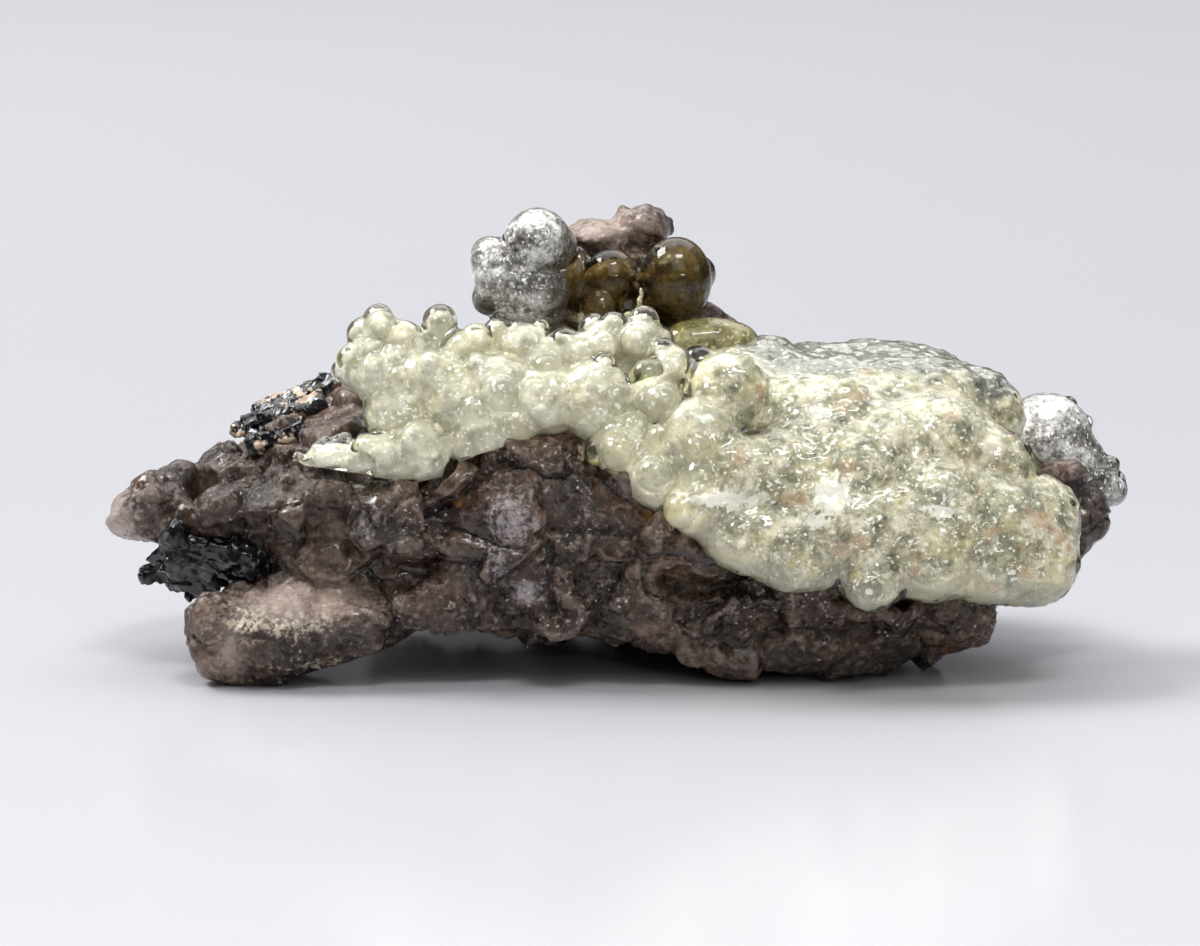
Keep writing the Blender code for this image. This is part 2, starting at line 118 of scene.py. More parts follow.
# Buds over a growth: number, radii, part of the radius that is sunk, seed, least spacing in radii
SOFT_BUDS = (130, (0.7, 1.3), 0.3, 61, 0.75)
ROUGH_BUDS = (110, (0.35, 0.8), 0.45, 62, 0.9)
LOBE_BUDS = (14, (0.3, 0.6), 0.4, 63, 1.0)
TRIES_PER_BUD = 12
BUD_SHRINK = (0.75, 1.0)
DEEPEST_BUD = -0.35
LOWEST_BUD_AIM = -0.2
CREST_CORE = 0.5

# Where chips and mottling start along the crust, and over what length they set in
CHIPS_FROM = 3.0
CHIPS_SPAN = 5.0
MOTTLE_FROM = 1.0
MOTTLE_SPAN = 6.0

# Where the crust's buds stand: the soft side's limits, and the crest, against the sky or over dark rock
SOFT_SIDE_END = 5.0
SOFT_BUDS_ABOVE = 14.6
SOFT_BUDS_RIGHT_OF = -6.0
STALK_CLEARANCE = 2.2
CREST_ABOVE = 16.9
CREST_LEFT_OF = -13.0
RIGHT_CREST_ABOVE = 15.4

# A heart's least size, as a part of its globule's, and how far it stays above the broken edge
LEAST_HEART = 0.45
EDGE_INSET = 0.1

# Settling on a skin: the longest step, and the part of each that is taken
LONGEST_STEP = 0.3
STEP_SHARE = 0.9

# Facets of broken surfaces: size, seed, seam
BROAD_FACETS = (3.4, 21, 0.14)
MIDDLE_FACETS = (1.4, 31, 0.06)
SMALL_FACETS = (0.62, 41, 0.06)
GLASS_PLATES = (1.1, 81, 0.06)
GLASS_CHIPS = (0.5, 82, 0.05)
HEART_FACETS = (0.5, 11, 0.06)
SCHORL_FACETS = (0.7, 51, 0.05)
CRUMB_FACETS = (0.25, 91, 0.04)

# How far the facets stand out, and how deep the creases between them are
BROAD_RELIEF = 1.05
BROAD_CREASE = 0.5
MIDDLE_RELIEF = 0.34
MIDDLE_CREASE = 0.08
SMALL_RELIEF = 0.15
PLATE_RELIEF = 0.5
CHIP_RELIEF = 0.12
SCHORL_RELIEF = 0.2
CRUMB_RELIEF = 0.12

# The quartz's facets: bend, stretch along each axis, outward shift, loss in spared zones, fading height
ROCK_BEND = 0.7
ROCK_STRETCH = (0.85, 0.9, 1.1)
ROCK_SHIFT = 0.1
SPARED_LOSS = 0.8
FLAT_BELOW = 0.8

# The quartz's skin: rounds that even it out, and the rounds and percentile of its ridges
ROCK_RELAXING = 12
RIDGE_ROUNDS = 4
RIDGE_PERCENTILE = 97

# The foot's underside: relief, rise toward the camera, the y of its heights, and its back
UNDERSIDE_RELIEF = 0.15
UNDERSIDE_SLOPE = 0.17
UNDERSIDE_Y = -10.0
UNDERSIDE_BACK = -3.0

# Noise, as wavelength and seed
BEND_NOISE = ((1.6, 1.0), (1.6, 2.0), (1.6, 3.0))
CRUSHED_NOISE = (3.6, 6.0)
ROCK_NOISE = (0.5, 2.0)
UNDERSIDE_NOISE = (1.1, 5.0)
GLASS_NOISE = ((1.3, 3.0), (0.5, 4.0))
HEART_NOISE = ((1.7, 7.0), (0.6, 8.0))

# Shards of schorl about each column: number, spread in radii, lean, lengths, radii, tapers
SHARDS_PER_COLUMN = 6
SHARD_SPREAD = 0.35
SHARD_LEAN = 0.45
SHARD_LENGTHS = (1.2, 2.6)
SHARD_RADII = (0.35, 0.75)
SHARD_TAPERS = (0.1, 0.6)
COLUMN_TAPER = 0.8

# Globules of opal: centre, radii
FRONT_CRUST = (
    ((-15.8, -6.6, 11.8), (1.5, 1.1, 0.55)), ((-14.4, -7.0, 12.2), (1.8, 1.2, 0.75)),
    ((-12.4, -7.8, 12.5), (1.9, 1.2, 1.0)), ((-10.6, -8.2, 13.0), (1.5, 1.2, 1.2)),
    ((-13.9, -4.6, 16.4), (1.2, 1.4, 1.2)), ((-13.5, -4.8, 17.3), (1.1, 1.2, 1.1)),
    ((-12.8, -4.6, 18.2), (1.2, 1.3, 1.2)), ((-11.6, -5.4, 18.0), (1.2, 1.2, 1.2)),
    ((-12.4, -5.8, 16.0), (1.8, 1.7, 1.6)), ((-11.8, -6.6, 14.4), (1.9, 1.6, 1.6)),
    ((-10.2, -6.4, 16.2), (1.8, 1.6, 1.5)), ((-9.6, -4.8, 19.0), (0.95, 0.95, 0.95)),
    ((-9.7, -5.0, 17.8), (0.5, 0.5, 1.0)), ((-8.2, -5.4, 17.6), (1.2, 1.3, 1.1)),
    ((-8.6, -6.8, 14.9), (2.1, 1.8, 1.9)), ((-6.3, -5.0, 17.8), (1.2, 1.3, 1.1)),
    ((-6.4, -7.0, 15.6), (2.1, 2.0, 2.0)), ((-4.9, -5.4, 17.9), (1.3, 1.3, 1.15)),
    ((-3.6, -6.0, 17.3), (1.3, 1.3, 1.2)), ((-3.8, -7.4, 15.2), (2.1, 2.0, 1.9)),
    ((-2.2, -6.2, 17.4), (1.4, 1.3, 1.3)), ((-0.8, -5.6, 18.0), (1.3, 1.3, 1.3)),
    ((1.2, -5.4, 18.0), (1.35, 1.3, 1.4)), ((-1.2, -7.8, 15.2), (2.1, 1.9, 2.2)),
    ((0.4, -8.6, 13.0), (2.0, 1.9, 1.9)), ((1.8, -8.2, 15.4), (1.5, 1.6, 1.5)),
    ((2.8, -7.2, 16.8), (1.2, 1.4, 1.3)), ((2.0, -9.6, 11.4), (1.7, 1.7, 1.9)),
    ((4.2, -9.4, 13.4), (2.3, 2.0, 2.2)), ((5.7, -8.0, 15.9), (2.0, 1.9, 1.9)),
    ((4.6, -10.6, 10.2), (2.2, 1.8, 2.0)), ((6.4, -11.2, 8.4), (2.0, 1.7, 1.8)),
    ((6.0, -4.4, 15.9), (2.4, 2.4, 1.6)), ((8.0, -2.6, 16.6), (1.2, 1.6, 1.2)),
    ((9.0, -3.8, 15.3), (2.3, 2.3, 1.6)), ((11.6, -3.2, 15.2), (2.4, 2.4, 1.5)),
    ((15.0, -2.4, 15.3), (2.3, 2.3, 1.4)), ((9.4, -6.4, 14.2), (2.3, 2.3, 2.0)),
    ((10.4, -0.6, 15.6), (2.3, 2.2, 1.5)), ((13.6, 0.0, 15.7), (2.5, 2.2, 1.5)),
    ((16.4, -0.6, 15.4), (2.3, 2.2, 1.5)), ((11.8, -7.0, 14.0), (2.3, 2.2, 2.2)),
    ((14.2, -4.6, 14.6), (2.4, 2.3, 1.9)), ((17.2, -3.6, 14.6), (2.4, 2.2, 1.9)),
    ((19.4, -2.0, 14.2), (1.8, 1.9, 1.8)), ((20.5, -2.8, 13.4), (1.4, 1.8, 1.6)),
    ((16.8, -7.2, 12.9), (2.5, 2.3, 2.4)), ((8.6, -9.6, 11.2), (2.5, 2.2, 2.4)),
    ((12.8, -9.4, 11.4), (2.6, 2.3, 2.5)), ((16.8, -9.8, 10.0), (2.5, 2.2, 2.4)),
    ((19.8, -7.2, 11.3), (2.3, 2.1, 2.3)), ((19.8, -9.2, 8.8), (2.4, 2.3, 2.3)),
    ((8.6, -11.2, 8.0), (2.2, 1.9, 2.1)), ((12.4, -11.2, 8.5), (2.5, 2.0, 2.3)),
    ((16.4, -11.0, 7.2), (2.5, 2.1, 2.2)), ((13.3, -12.3, 6.2), (1.5, 1.5, 1.5)),
    ((19.8, -10.2, 6.6), (2.3, 1.9, 1.9)), ((22.1, -9.2, 6.7), (2.3, 2.0, 2.3)),
    ((22.7, -7.4, 8.8), (1.9, 2.0, 2.2)), ((9.8, -11.6, 6.9), (1.6, 1.4, 1.1)),
)
CLEAR_KNOB = (
    ((-4.4, -1.4, 22.7), (1.9, 2.0, 2.0)), ((-7.0, -1.4, 22.1), (1.05, 1.2, 1.05)),
    ((-6.2, -1.6, 21.2), (1.7, 1.8, 1.7)), ((-7.1, -1.8, 19.8), (0.85, 1.0, 0.85)),
    ((-3.3, -0.6, 22.6), (1.0, 1.2, 1.0)), ((-4.8, -1.6, 20.2), (2.2, 1.9, 1.9)),
    ((-5.0, -1.4, 18.9), (2.0, 1.6, 1.5)), ((-4.6, 0.8, 19.6), (2.0, 1.8, 2.4)),
)
OLIVE_GLOBULES = (
    ((3.1, -0.8, 20.7), (1.95, 2.0, 2.35)), ((3.5, 0.8, 21.6), (0.9, 1.0, 0.9)),
    ((4.4, 0.8, 20.8), (0.9, 1.1, 1.0)), ((-0.4, -0.3, 20.8), (1.5, 1.5, 1.5)),
    ((-1.0, -1.2, 19.3), (1.0, 1.2, 1.0)), ((-2.2, 0.4, 20.2), (0.9, 1.2, 2.2)),
    ((0.4, 0.0, 18.8), (1.6, 1.5, 1.3)),
)
OLIVE_LOBE = (
    ((3.9, -2.0, 17.5), (1.7, 1.4, 1.1)), ((5.0, -1.8, 17.6), (1.9, 1.5, 1.15)),
    ((6.1, -1.6, 17.4), (1.5, 1.4, 1.1)),
)
RIGHT_LOBES = (
    ((23.4, 1.0, 11.6), (2.6, 2.6, 2.6)), ((24.9, 0.8, 10.4), (1.8, 2.0, 1.7)),
    ((26.0, 0.6, 9.4), (1.4, 1.5, 1.3)), ((27.0, 0.4, 8.9), (0.9, 1.0, 0.9)),
    ((26.8, 0.6, 10.2), (0.55, 0.6, 0.5)),
)

# Filled gaps between the crust's globules: centre, radii
CRUST_FILL = (
    ((6.8, -6.6, 13.7), (1.9, 1.6, 1.7)), ((0.5, -4.8, 16.6), (1.6, 1.3, 1.3)),
    ((10.2, -8.6, 12.6), (2.0, 1.8, 2.0)), ((14.6, -8.2, 12.6), (2.2, 2.0, 2.2)),
    ((18.4, -6.0, 12.6), (1.8, 1.8, 1.8)), ((6.6, -10.4, 11.8), (1.8, 1.6, 1.8)),
    ((10.6, -10.6, 9.8), (2.0, 1.7, 2.0)), ((14.6, -10.6, 9.2), (2.0, 1.8, 2.0)),
    ((18.2, -10.2, 8.2), (2.0, 1.8, 2.0)), ((21.6, -8.4, 7.8), (1.8, 1.8, 1.8)),
    ((-13.6, -7.2, 11.8), (2.8, 1.0, 0.9)), ((-11.0, -7.9, 12.0), (2.4, 1.1, 1.4)),
    ((-7.0, -7.6, 13.8), (2.8, 1.4, 1.4)), ((-7.6, -7.8, 12.9), (2.1, 1.2, 1.2)),
)

# Lumps that round the quartz out: centre, radii
QUARTZ_LUMPS = (
    ((-14.0, -6.4, 6.4), (4.6, 1.9, 2.0)), ((-11.5, -8.4, 8.6), (2.6, 1.5, 1.9)),
    ((-16.4, -7.4, 9.4), (2.2, 1.4, 1.3)), ((-5.7, -8.9, 9.2), (1.5, 1.3, 1.7)),
    ((-21.6, -8.8, 2.6), (1.7, 2.2, 2.4)), ((-18.6, -9.6, 2.4), (3.2, 1.6, 1.9)),
    ((4.6, -8.4, 6.8), (3.6, 1.9, 1.4)), ((9.0, -9.0, 5.6), (3.2, 1.6, 1.2)),
    ((1.35, 3.6, 23.2), (1.5, 1.7, 1.25)), ((-1.6, 3.0, 22.5), (2.4, 1.7, 0.9)),
    ((-26.0, -2.8, 8.0), (1.7, 1.5, 1.4)), ((-24.4, -2.8, 8.8), (2.2, 1.6, 1.4)),
    ((-20.6, -0.6, 4.9), (2.0, 1.6, 1.3)), ((17.6, -6.6, 2.9), (2.2, 1.8, 1.5)),
    ((25.2, -2.8, 8.2), (1.5, 1.8, 1.7)), ((24.1, -3.2, 9.9), (1.3, 1.6, 1.3)),
    ((-9.0, 8.2, 3.2), (5.0, 1.5, 2.2)), ((-3.5, 8.0, 2.8), (3.5, 1.5, 1.8)),
    ((7.5, 7.5, 2.6), (3.5, 1.4, 1.8)),
)

# The stalked ball, and the zones of broken glass and of spared quartz: centre, radii
STALK_BALL = (-9.6, -4.8, 18.6)
BROKEN_GLASS = (
    ((-14.6, -7.0, 12.0), (3.4, 3.0, 1.6)), ((-10.0, -8.4, 12.8), (3.4, 3.0, 1.8)),
)
SPARED_QUARTZ = (
    ((-18.0, -9.5, 2.5), (5.0, 4.0, 3.0)), ((-0.5, 1.0, 24.0), (4.0, 4.0, 2.5)),
    ((-27.0, -2.5, 8.2), (2.0, 4.0, 2.5)), ((18.5, -7.0, 3.0), (3.0, 4.0, 3.0)),
    ((26.0, 0.0, 8.0), (3.0, 4.0, 4.0)),
)

# The straight underside of the foot: x, and z at y = -10
FOOT_UNDERSIDE_X = (-17.6, -9.4, -7.6)
FOOT_UNDERSIDE_Z = (0.5, 3.1, 0.0)

# The crust's lower edge on the left, where it is broken off straight: x, z
BROKEN_EDGE_X = (-17.4, -15.2, -11.1, -9.4, -9.2, -5.6, -4.2, -3.2)
BROKEN_EDGE_Z = (11.75, 11.55, 10.9, 11.2, 11.95, 13.05, 13.4, 9.0)

# Crumbs of cream powder between two olive globules: centre, radii
CREAM_CRUMBS = (
    ((1.2, -1.9, 20.1), (0.09, 0.5, 0.3)), ((1.13, -2.0, 19.6), (0.12, 0.5, 0.35)),
    ((1.05, -2.1, 19.2), (0.2, 0.5, 0.25)), ((0.85, -2.2, 18.9), (0.35, 0.5, 0.22)),
    ((1.2, -2.3, 18.75), (0.4, 0.5, 0.2)), ((0.5, -2.2, 19.0), (0.25, 0.4, 0.15)),
)

# Columns of schorl: start, end, radius, number of sides
LOWER_SCHORL = (
    ((-24.3, -2.9, 5.3), (-20.9, -3.3, 5.7), 1.25, 6), ((-25.0, -3.0, 4.9), (-22.4, -3.3, 5.3), 0.65, 5),
    ((-24.3, -4.6, 6.3), (-23.5, -5.8, 8.2), 0.75, 6), ((-24.2, -4.1, 6.4), (-18.6, -4.9, 6.1), 1.6, 7),
    ((-24.2, -3.6, 4.9), (-21.6, -4.2, 4.7), 0.85, 6), ((-22.9, -5.0, 7.0), (-19.6, -6.0, 6.2), 0.9, 6),
    ((-22.6, -1.0, 5.2), (-19.6, -1.4, 5.2), 1.2, 6),
)
UPPER_SCHORL = (
    ((-20.4, 1.6, 11.7), (-17.0, 2.0, 12.9), 1.3, 6), ((-20.0, 0.0, 11.2), (-16.9, -0.8, 12.5), 1.1, 7),
    ((-19.8, 2.6, 12.5), (-15.0, 2.8, 14.5), 0.95, 6), ((-19.8, 4.0, 12.1), (-16.0, 6.4, 13.4), 1.2, 6),
    ((-19.4, 0.6, 12.3), (-16.0, 1.0, 13.7), 1.0, 6), ((-18.2, 5.0, 13.0), (-14.8, 5.8, 14.0), 0.8, 6),
)

# Zones painted on the opal's hearts: centre, radii
HEART_ZONES = {
    "silver": (
        ((10.4, -2.8, 16.9), (3.8, 3.6, 1.6)), ((15.2, -2.0, 16.8), (4.2, 3.4, 1.5)),
        ((20.0, -2.6, 15.6), (1.6, 2.6, 1.3)),
    ),
    # Painted highlights: small patches of the crust's heart painted near white as glints
    "painted_glints": (
        ((11.1, -12.6, 10.9), (0.9, 2.2, 1.1)), ((5.6, -12.0, 10.6), (1.9, 1.8, 0.4)),
        ((10.4, -13.0, 9.6), (0.9, 1.5, 0.4)), ((16.9, -12.5, 9.9), (0.8, 1.5, 0.3)),
        ((10.6, -9.6, 14.6), (0.5, 1.5, 0.4)),
    ),
    "shade": (
        ((-2.7, -1.0, 20.8), (2.1, 3.0, 3.2)), ((-7.4, -2.5, 19.4), (0.7, 1.5, 0.7)),
        ((-6.2, -2.5, 18.4), (1.4, 1.5, 0.6)), ((-6.0, -2.8, 22.6), (0.5, 1.5, 0.6)),
    ),
    "cream": (
        ((4.6, -8.0, 16.6), (1.8, 3.0, 1.0)), ((0.0, -10.0, 12.2), (1.2, 2.5, 1.6)),
        ((3.4, -11.0, 9.6), (1.6, 2.5, 1.2)), ((5.9, -12.0, 7.6), (2.0, 2.5, 0.9)),
        ((16.8, -12.5, 5.9), (3.0, 2.5, 1.0)), ((22.6, -9.5, 6.4), (1.6, 3.0, 1.6)),
    ),
    "grey": (
        ((13.3, -12.6, 6.3), (1.2, 2.5, 1.2)), ((8.2, -11.5, 11.2), (0.9, 2.5, 0.8)),
        ((16.8, -11.5, 10.6), (1.0, 2.5, 0.7)), ((9.5, -9.0, 14.1), (1.0, 2.5, 0.9)),
        ((20.4, -11.0, 8.2), (1.2, 2.5, 0.9)),
    ),
}

# Zones painted on the quartz: centre, radii
QUARTZ_ZONES = {
    "pale": (
        ((-27.6, -2.8, 8.0), (2.0, 4.0, 3.0)), ((-5.7, -9.0, 9.2), (1.6, 3.0, 1.8)),
        ((-6.4, -8.5, 6.9), (0.8, 3.0, 1.5)), ((-4.9, -8.5, 5.2), (1.0, 3.0, 1.0)),
    ),
    "blush": (
        ((-27.2, -2.8, 8.0), (2.0, 3.0, 2.4)), ((-0.6, 2.0, 23.4), (4.2, 4.0, 1.6)),
        ((-17.0, -8.5, 4.4), (5.0, 4.0, 2.0)), ((-20.6, -8.8, 2.4), (1.6, 3.0, 2.6)),
    ),
    "powder": (
        ((-17.0, -11.0, 3.6), (2.4, 2.5, 0.9)), ((-19.6, -10.5, 3.8), (1.4, 2.5, 1.2)),
        ((-15.8, -10.5, 1.2), (3.0, 2.5, 0.6)), ((-1.4, -8.0, 12.6), (1.7, 2.0, 0.9)),
    ),
    "rust": (
        ((-10.1, -8.0, 11.2), (0.6, 2.5, 0.9)), ((-8.5, -8.0, 9.9), (0.7, 2.5, 0.5)),
        ((-4.0, -8.5, 3.8), (0.9, 2.5, 0.6)), ((14.9, -11.0, 4.6), (1.0, 2.5, 0.4)),
        ((17.9, -7.0, 1.6), (0.9, 2.5, 0.5)), ((1.6, -9.5, 9.4), (0.9, 2.0, 0.6)),
    ),
    # Painted shade: the left arm darkened where the left lamp lights it
    "left_arm_shade": (
        ((-21.0, -4.5, 9.4), (4.6, 5.0, 2.4)), ((-15.0, -6.0, 9.0), (5.0, 5.0, 2.6)),
    ),
}

# Colours along a number: position, colour
MILKY_OPAL = ((0.38, (0.45, 0.435, 0.345)), (0.5, (0.62, 0.595, 0.49)), (0.6, (0.79, 0.76, 0.66)))
MOTTLED_OPAL = (
    (0.38, (0.1, 0.1, 0.068)), (0.45, (0.27, 0.26, 0.18)),
    (0.52, (0.53, 0.495, 0.375)), (0.6, (0.9, 0.85, 0.73)),
)
SILVER_OPAL = ((0.38, (0.012, 0.012, 0.01)), (0.5, (0.045, 0.045, 0.042)), (0.62, (0.3, 0.3, 0.3)))
SILVER_GRAINS = (
    (0.41, (0.05, 0.045, 0.037)), (0.47, (0.22, 0.21, 0.185)),
    (0.54, (0.56, 0.545, 0.51)), (0.62, (0.97, 0.97, 0.95)),
)
OLIVE_AMBER = ((0.38, (0.03, 0.018, 0.005)), (0.5, (0.08, 0.05, 0.014)), (0.66, (0.16, 0.105, 0.032)))
STRAW_AMBER = ((0.38, (0.12, 0.11, 0.05)), (0.5, (0.28, 0.265, 0.14)), (0.66, (0.62, 0.57, 0.38)))
SMOKY_QUARTZ = (
    (0.38, (0.011, 0.006, 0.004)), (0.46, (0.042, 0.024, 0.016)),
    (0.54, (0.105, 0.063, 0.041)), (0.64, (0.25, 0.17, 0.122)),
)
BLACK_SCHORL = ((0.3, (0.001, 0.001, 0.0015)), (0.75, (0.006, 0.006, 0.0075)))
CRUMBLY_CREAM = ((0.1, (0.42, 0.33, 0.18)), (0.5, (0.66, 0.58, 0.4)), (0.9, (0.86, 0.82, 0.7)))


# Mesh helpers

def points_of(mesh):
    """The mesh's points as rows, in millimetres."""
    flat = np.empty(len(mesh.vertices) * 3, np.float32)
    mesh.vertices.foreach_get("co", flat)
    return flat.reshape(-1, 3).astype(np.float64) / MM


def normals_of(mesh):
    """The mesh's point normals as rows."""
    flat = np.empty(len(mesh.vertices) * 3, np.float32)
    mesh.vertices.foreach_get("normal", flat)
    return flat.reshape(-1, 3).astype(np.float64)


def move_points(mesh, points):
    """Puts the mesh's points at these rows, in millimetres."""
    mesh.vertices.foreach_set("co", (points * MM).astype(np.float32).ravel())
    mesh.update()


def raise_points(mesh, points, heights):
    """The points moved out along the mesh's normals by these heights."""
    return points + normals_of(mesh) * heights[:, None]


def paint(mesh, name, values):
    """Stores one number a point, for the materials to read."""
    layer = mesh.attributes.new(name, "FLOAT", "POINT")
    layer.data.foreach_set("value", values.astype(np.float32))


def paint_zones(mesh, points, zones):
    """Stores how deep each point lies in each zone."""
    for name, blobs in zones.items():
        paint(mesh, name, zone_at(points, blobs))


def new_piece(name, mesh):
    """A new object that shows the mesh."""
    piece = bpy.data.objects.new(name, mesh)
    mesh.name = name
    bpy.context.scene.collection.objects.link(piece)
    return piece


def piece_from(bm, name):
    """A new object with the shape that was built up, which is then let go."""
    mesh = bpy.data.meshes.new(name)
    bm.to_mesh(mesh)
    bm.free()
    return new_piece(name, mesh)


def apply_modifiers(piece):
    """Puts the evaluated shape in the piece's own mesh."""
    bpy.context.view_layer.update()
    graph = bpy.context.evaluated_depsgraph_get()
    mesh = bpy.data.meshes.new_from_object(piece.evaluated_get(graph))
    old = piece.data
    piece.modifiers.clear()
    piece.data = mesh
    bpy.data.meshes.remove(old)
    mesh.name = piece.name


def fuse(piece, voxel):
    """Joins the piece's overlapping solids into one even skin."""
    remesh = piece.modifiers.new("fuse", "REMESH")
    remesh.mode = "VOXEL"
    remesh.voxel_size = voxel * MM
    apply_modifiers(piece)


def relax(piece, rounds):
    """Evens the skin out."""
    smooth = piece.modifiers.new("relax", "SMOOTH")
    smooth.iterations = rounds
    smooth.factor = 0.5
    apply_modifiers(piece)


def keep_largest(piece):
    """Removes every loose bit but the largest."""
    bm = bmesh.new()
    bm.from_mesh(piece.data)
    unseen = set(bm.verts)
    islands = []
    while unseen:
        island = {unseen.pop()}
        edge = list(island)
        while edge:
            near = {other for link in edge.pop().link_edges for other in link.verts} & unseen
            unseen -= near
            island |= near
            edge.extend(near)
        islands.append(island)
    largest = max(islands, key=len)
    bmesh.ops.delete(bm, geom=[vert for vert in bm.verts if vert not in largest], context="VERTS")
    bm.to_mesh(piece.data)
    bm.free()


def ridge_of(mesh, points, rounds):
    """How far each point stands out from its surroundings, in millimetres."""
    flat = np.empty(len(mesh.edges) * 2, np.int32)
    mesh.edges.foreach_get("vertices", flat)
    one, two = flat.reshape(-1, 2).T
    size = len(points)
    count = np.maximum(np.bincount(one, minlength=size) + np.bincount(two, minlength=size), 1)
    smooth = points
    for _ in range(rounds):
        columns = []
        for axis in range(3):
            total = np.bincount(one, smooth[two, axis], size)
            total += np.bincount(two, smooth[one, axis], size)
            columns.append(total / count)
        smooth = np.stack(columns, axis=1)
    return ((points - smooth) * normals_of(mesh)).sum(axis=1)


# Patterns

def noise_at(points, wavelength, seed):
    """Smooth noise from -1 to 1 at each point."""
    shift = Vector((seed * 17.3, seed * 5.1, seed * 9.7))
    return np.array([noise.noise(Vector(p) / wavelength + shift) for p in points])


def scattered(cells, seed):
    """One number from 0 to 1 for each cell of a grid."""
    parts = cells.astype(np.uint64)
    mixed = parts[:, 0] * np.uint64(73856093) ^ parts[:, 1] * np.uint64(19349663)
    mixed = mixed ^ parts[:, 2] * np.uint64(83492791) ^ np.uint64(seed * 50331653)
    for shift, factor in ((15, 2246822519), (13, 3266489917)):
        mixed = (mixed & np.uint64(0xFFFFFFFF)) * np.uint64(factor)
        mixed = mixed ^ (mixed >> np.uint64(shift))
    return (mixed & np.uint64(0xFFFFFF)).astype(float) / 0xFFFFFF


def facets_at(points, size, seed, seam):
    """Tilted flat facets that meet at edges about one seam wide: height, tone, nearness to an edge."""
    scaled = points / size
    base = np.floor(scaled).astype(np.int64)
    distances = []
    heights = []
    tones = []
    for shift in itertools.product((-1, 0, 1), repeat=3):
        cells = base + np.array(shift)
        jitter = np.stack([scattered(cells, seed + axis) for axis in (0, 1, 2)], axis=1)
        tilt = np.stack([scattered(cells, seed + axis) for axis in (3, 4, 5)], axis=1) - 0.5
        offset = scaled - cells - jitter
        distances.append(np.linalg.norm(offset, axis=1))
        heights.append((offset * tilt).sum(axis=1) * 2.0 + scattered(cells, seed + 6) - 0.5)
        tones.append(scattered(cells, seed + 7))
    distances = np.array(distances)
    weights = np.exp((distances.min(axis=0) - distances) * size / seam)
    weights /= weights.sum(axis=0)
    height = (weights * np.array(heights)).sum(axis=0)
    tone = (weights * np.array(tones)).sum(axis=0)
    return height, tone, np.clip(2.0 - 2.0 * weights.max(axis=0), 0.0, 1.0)


def zone_at(points, blobs):
    """From 0 to 1: how deep each point lies in any of the blobs, given as centre and radii."""
    value = np.zeros(len(points))
    for centre, radii in blobs:
        reach = (((points - np.array(centre)) / np.array(radii)) ** 2).sum(axis=1)
        value = np.maximum(value, np.exp(-reach))
    return value


def broken_edge(points):
    """Height of the straight broken edge at each point of the crust."""
    return np.interp(points[:, 0], BROKEN_EDGE_X, BROKEN_EDGE_Z, left=0.0, right=0.0)


def broken_facets(points):
    """How far the crust's surface is chipped: flat fractures on the left, small chips on the right."""
    plates, _, _ = facets_at(points, *GLASS_PLATES)
    chips, _, _ = facets_at(points, *GLASS_CHIPS)
    left = np.clip(zone_at(points, BROKEN_GLASS) * 2.0 - 0.4, 0.0, 1.0)
    right = np.clip((points[:, 0] - CHIPS_FROM) / CHIPS_SPAN, 0.0, 1.0)
    return plates * PLATE_RELIEF * left + chips * CHIP_RELIEF * right


# Opal growths

def globule_distance(points, globules, fillet):
    """Signed distance to the fused skin of the globules."""
    if isinstance(fillet, tuple):
        fillet = np.interp(points[:, 0], CRUST_FILLET_SPAN, fillet)
    total = np.zeros(len(points))
    for centre, radii in globules:
        offset = points - np.array(centre)
        radii = np.array(radii)
        reach = np.linalg.norm(offset / radii, axis=1)
        slope = np.linalg.norm(offset / radii**2, axis=1)
        distance = reach * (reach - 1) / np.maximum(slope, 1e-6)
        total += np.exp(np.clip(-distance / fillet, -60.0, 60.0))
    return -fillet * np.log(np.maximum(total, 1e-26))


def skin_distance(points, globules, buds, fillet):
    """Signed distance to the skin of the broad globules with the small buds on it."""
    body = globule_distance(points, globules, fillet)
    if not buds:
        return body
    small = globule_distance(points, buds, BUD_FILLET)
    return -BUD_FILLET * np.logaddexp(-body / BUD_FILLET, -small / BUD_FILLET)


def scatter_buds(globules, fillet, family, inside):
    """Small globules over the skin of larger ones, none much closer than the spacing times their sizes."""
    count, sizes, sunk, seed, spacing = family
    scatter = np.random.default_rng(seed)
    centres = np.array([centre for centre, _ in globules])
    radii = np.array([radii for _, radii in globules])
    picks = scatter.integers(len(globules), size=count * TRIES_PER_BUD)
    aims = scatter.normal(size=(len(picks), 3))
    aims /= np.linalg.norm(aims, axis=1)[:, None]
    places = centres[picks] + aims * radii[picks]
    depth = globule_distance(places, globules, fillet)
    bud_sizes = scatter.uniform(*sizes, len(picks)) * scatter.uniform(*BUD_SHRINK, len(picks))
    buds = []
    for place, aim, size, below in zip(places, aims, bud_sizes, depth):
        if len(buds) == count:
            break
        if below < DEEPEST_BUD or aim[2] < LOWEST_BUD_AIM or not inside(place):
            continue
        if any(np.linalg.norm(place - other[0]) < spacing * (size + other[1][0]) for other in buds):
            continue
        buds.append((tuple(place - aim * size * sunk), (size, size, size)))
    return buds


def globule_mesh(name, globules):
    """The globules as one object of separate ellipsoids."""
    bm = bmesh.new()
    for centre, radii in globules:
        scale = Matrix.Diagonal([radius * MM for radius in radii] + [1.0])
        place = Matrix.Translation(Vector(centre) * MM) @ scale
        bmesh.ops.create_icosphere(bm, subdivisions=3, radius=1.0, matrix=place)
    return piece_from(bm, name)


def settle_on_skin(piece, globules, buds, fillet, rounds):
    """Draws the piece's points onto the fused skin."""
    for _ in range(rounds):
        points = points_of(piece.data)
        distance = skin_distance(points, globules, buds, fillet)
        step = np.clip(distance, -LONGEST_STEP, LONGEST_STEP)[:, None] * normals_of(piece.data)
        move_points(piece.data, points - step * STEP_SHARE)


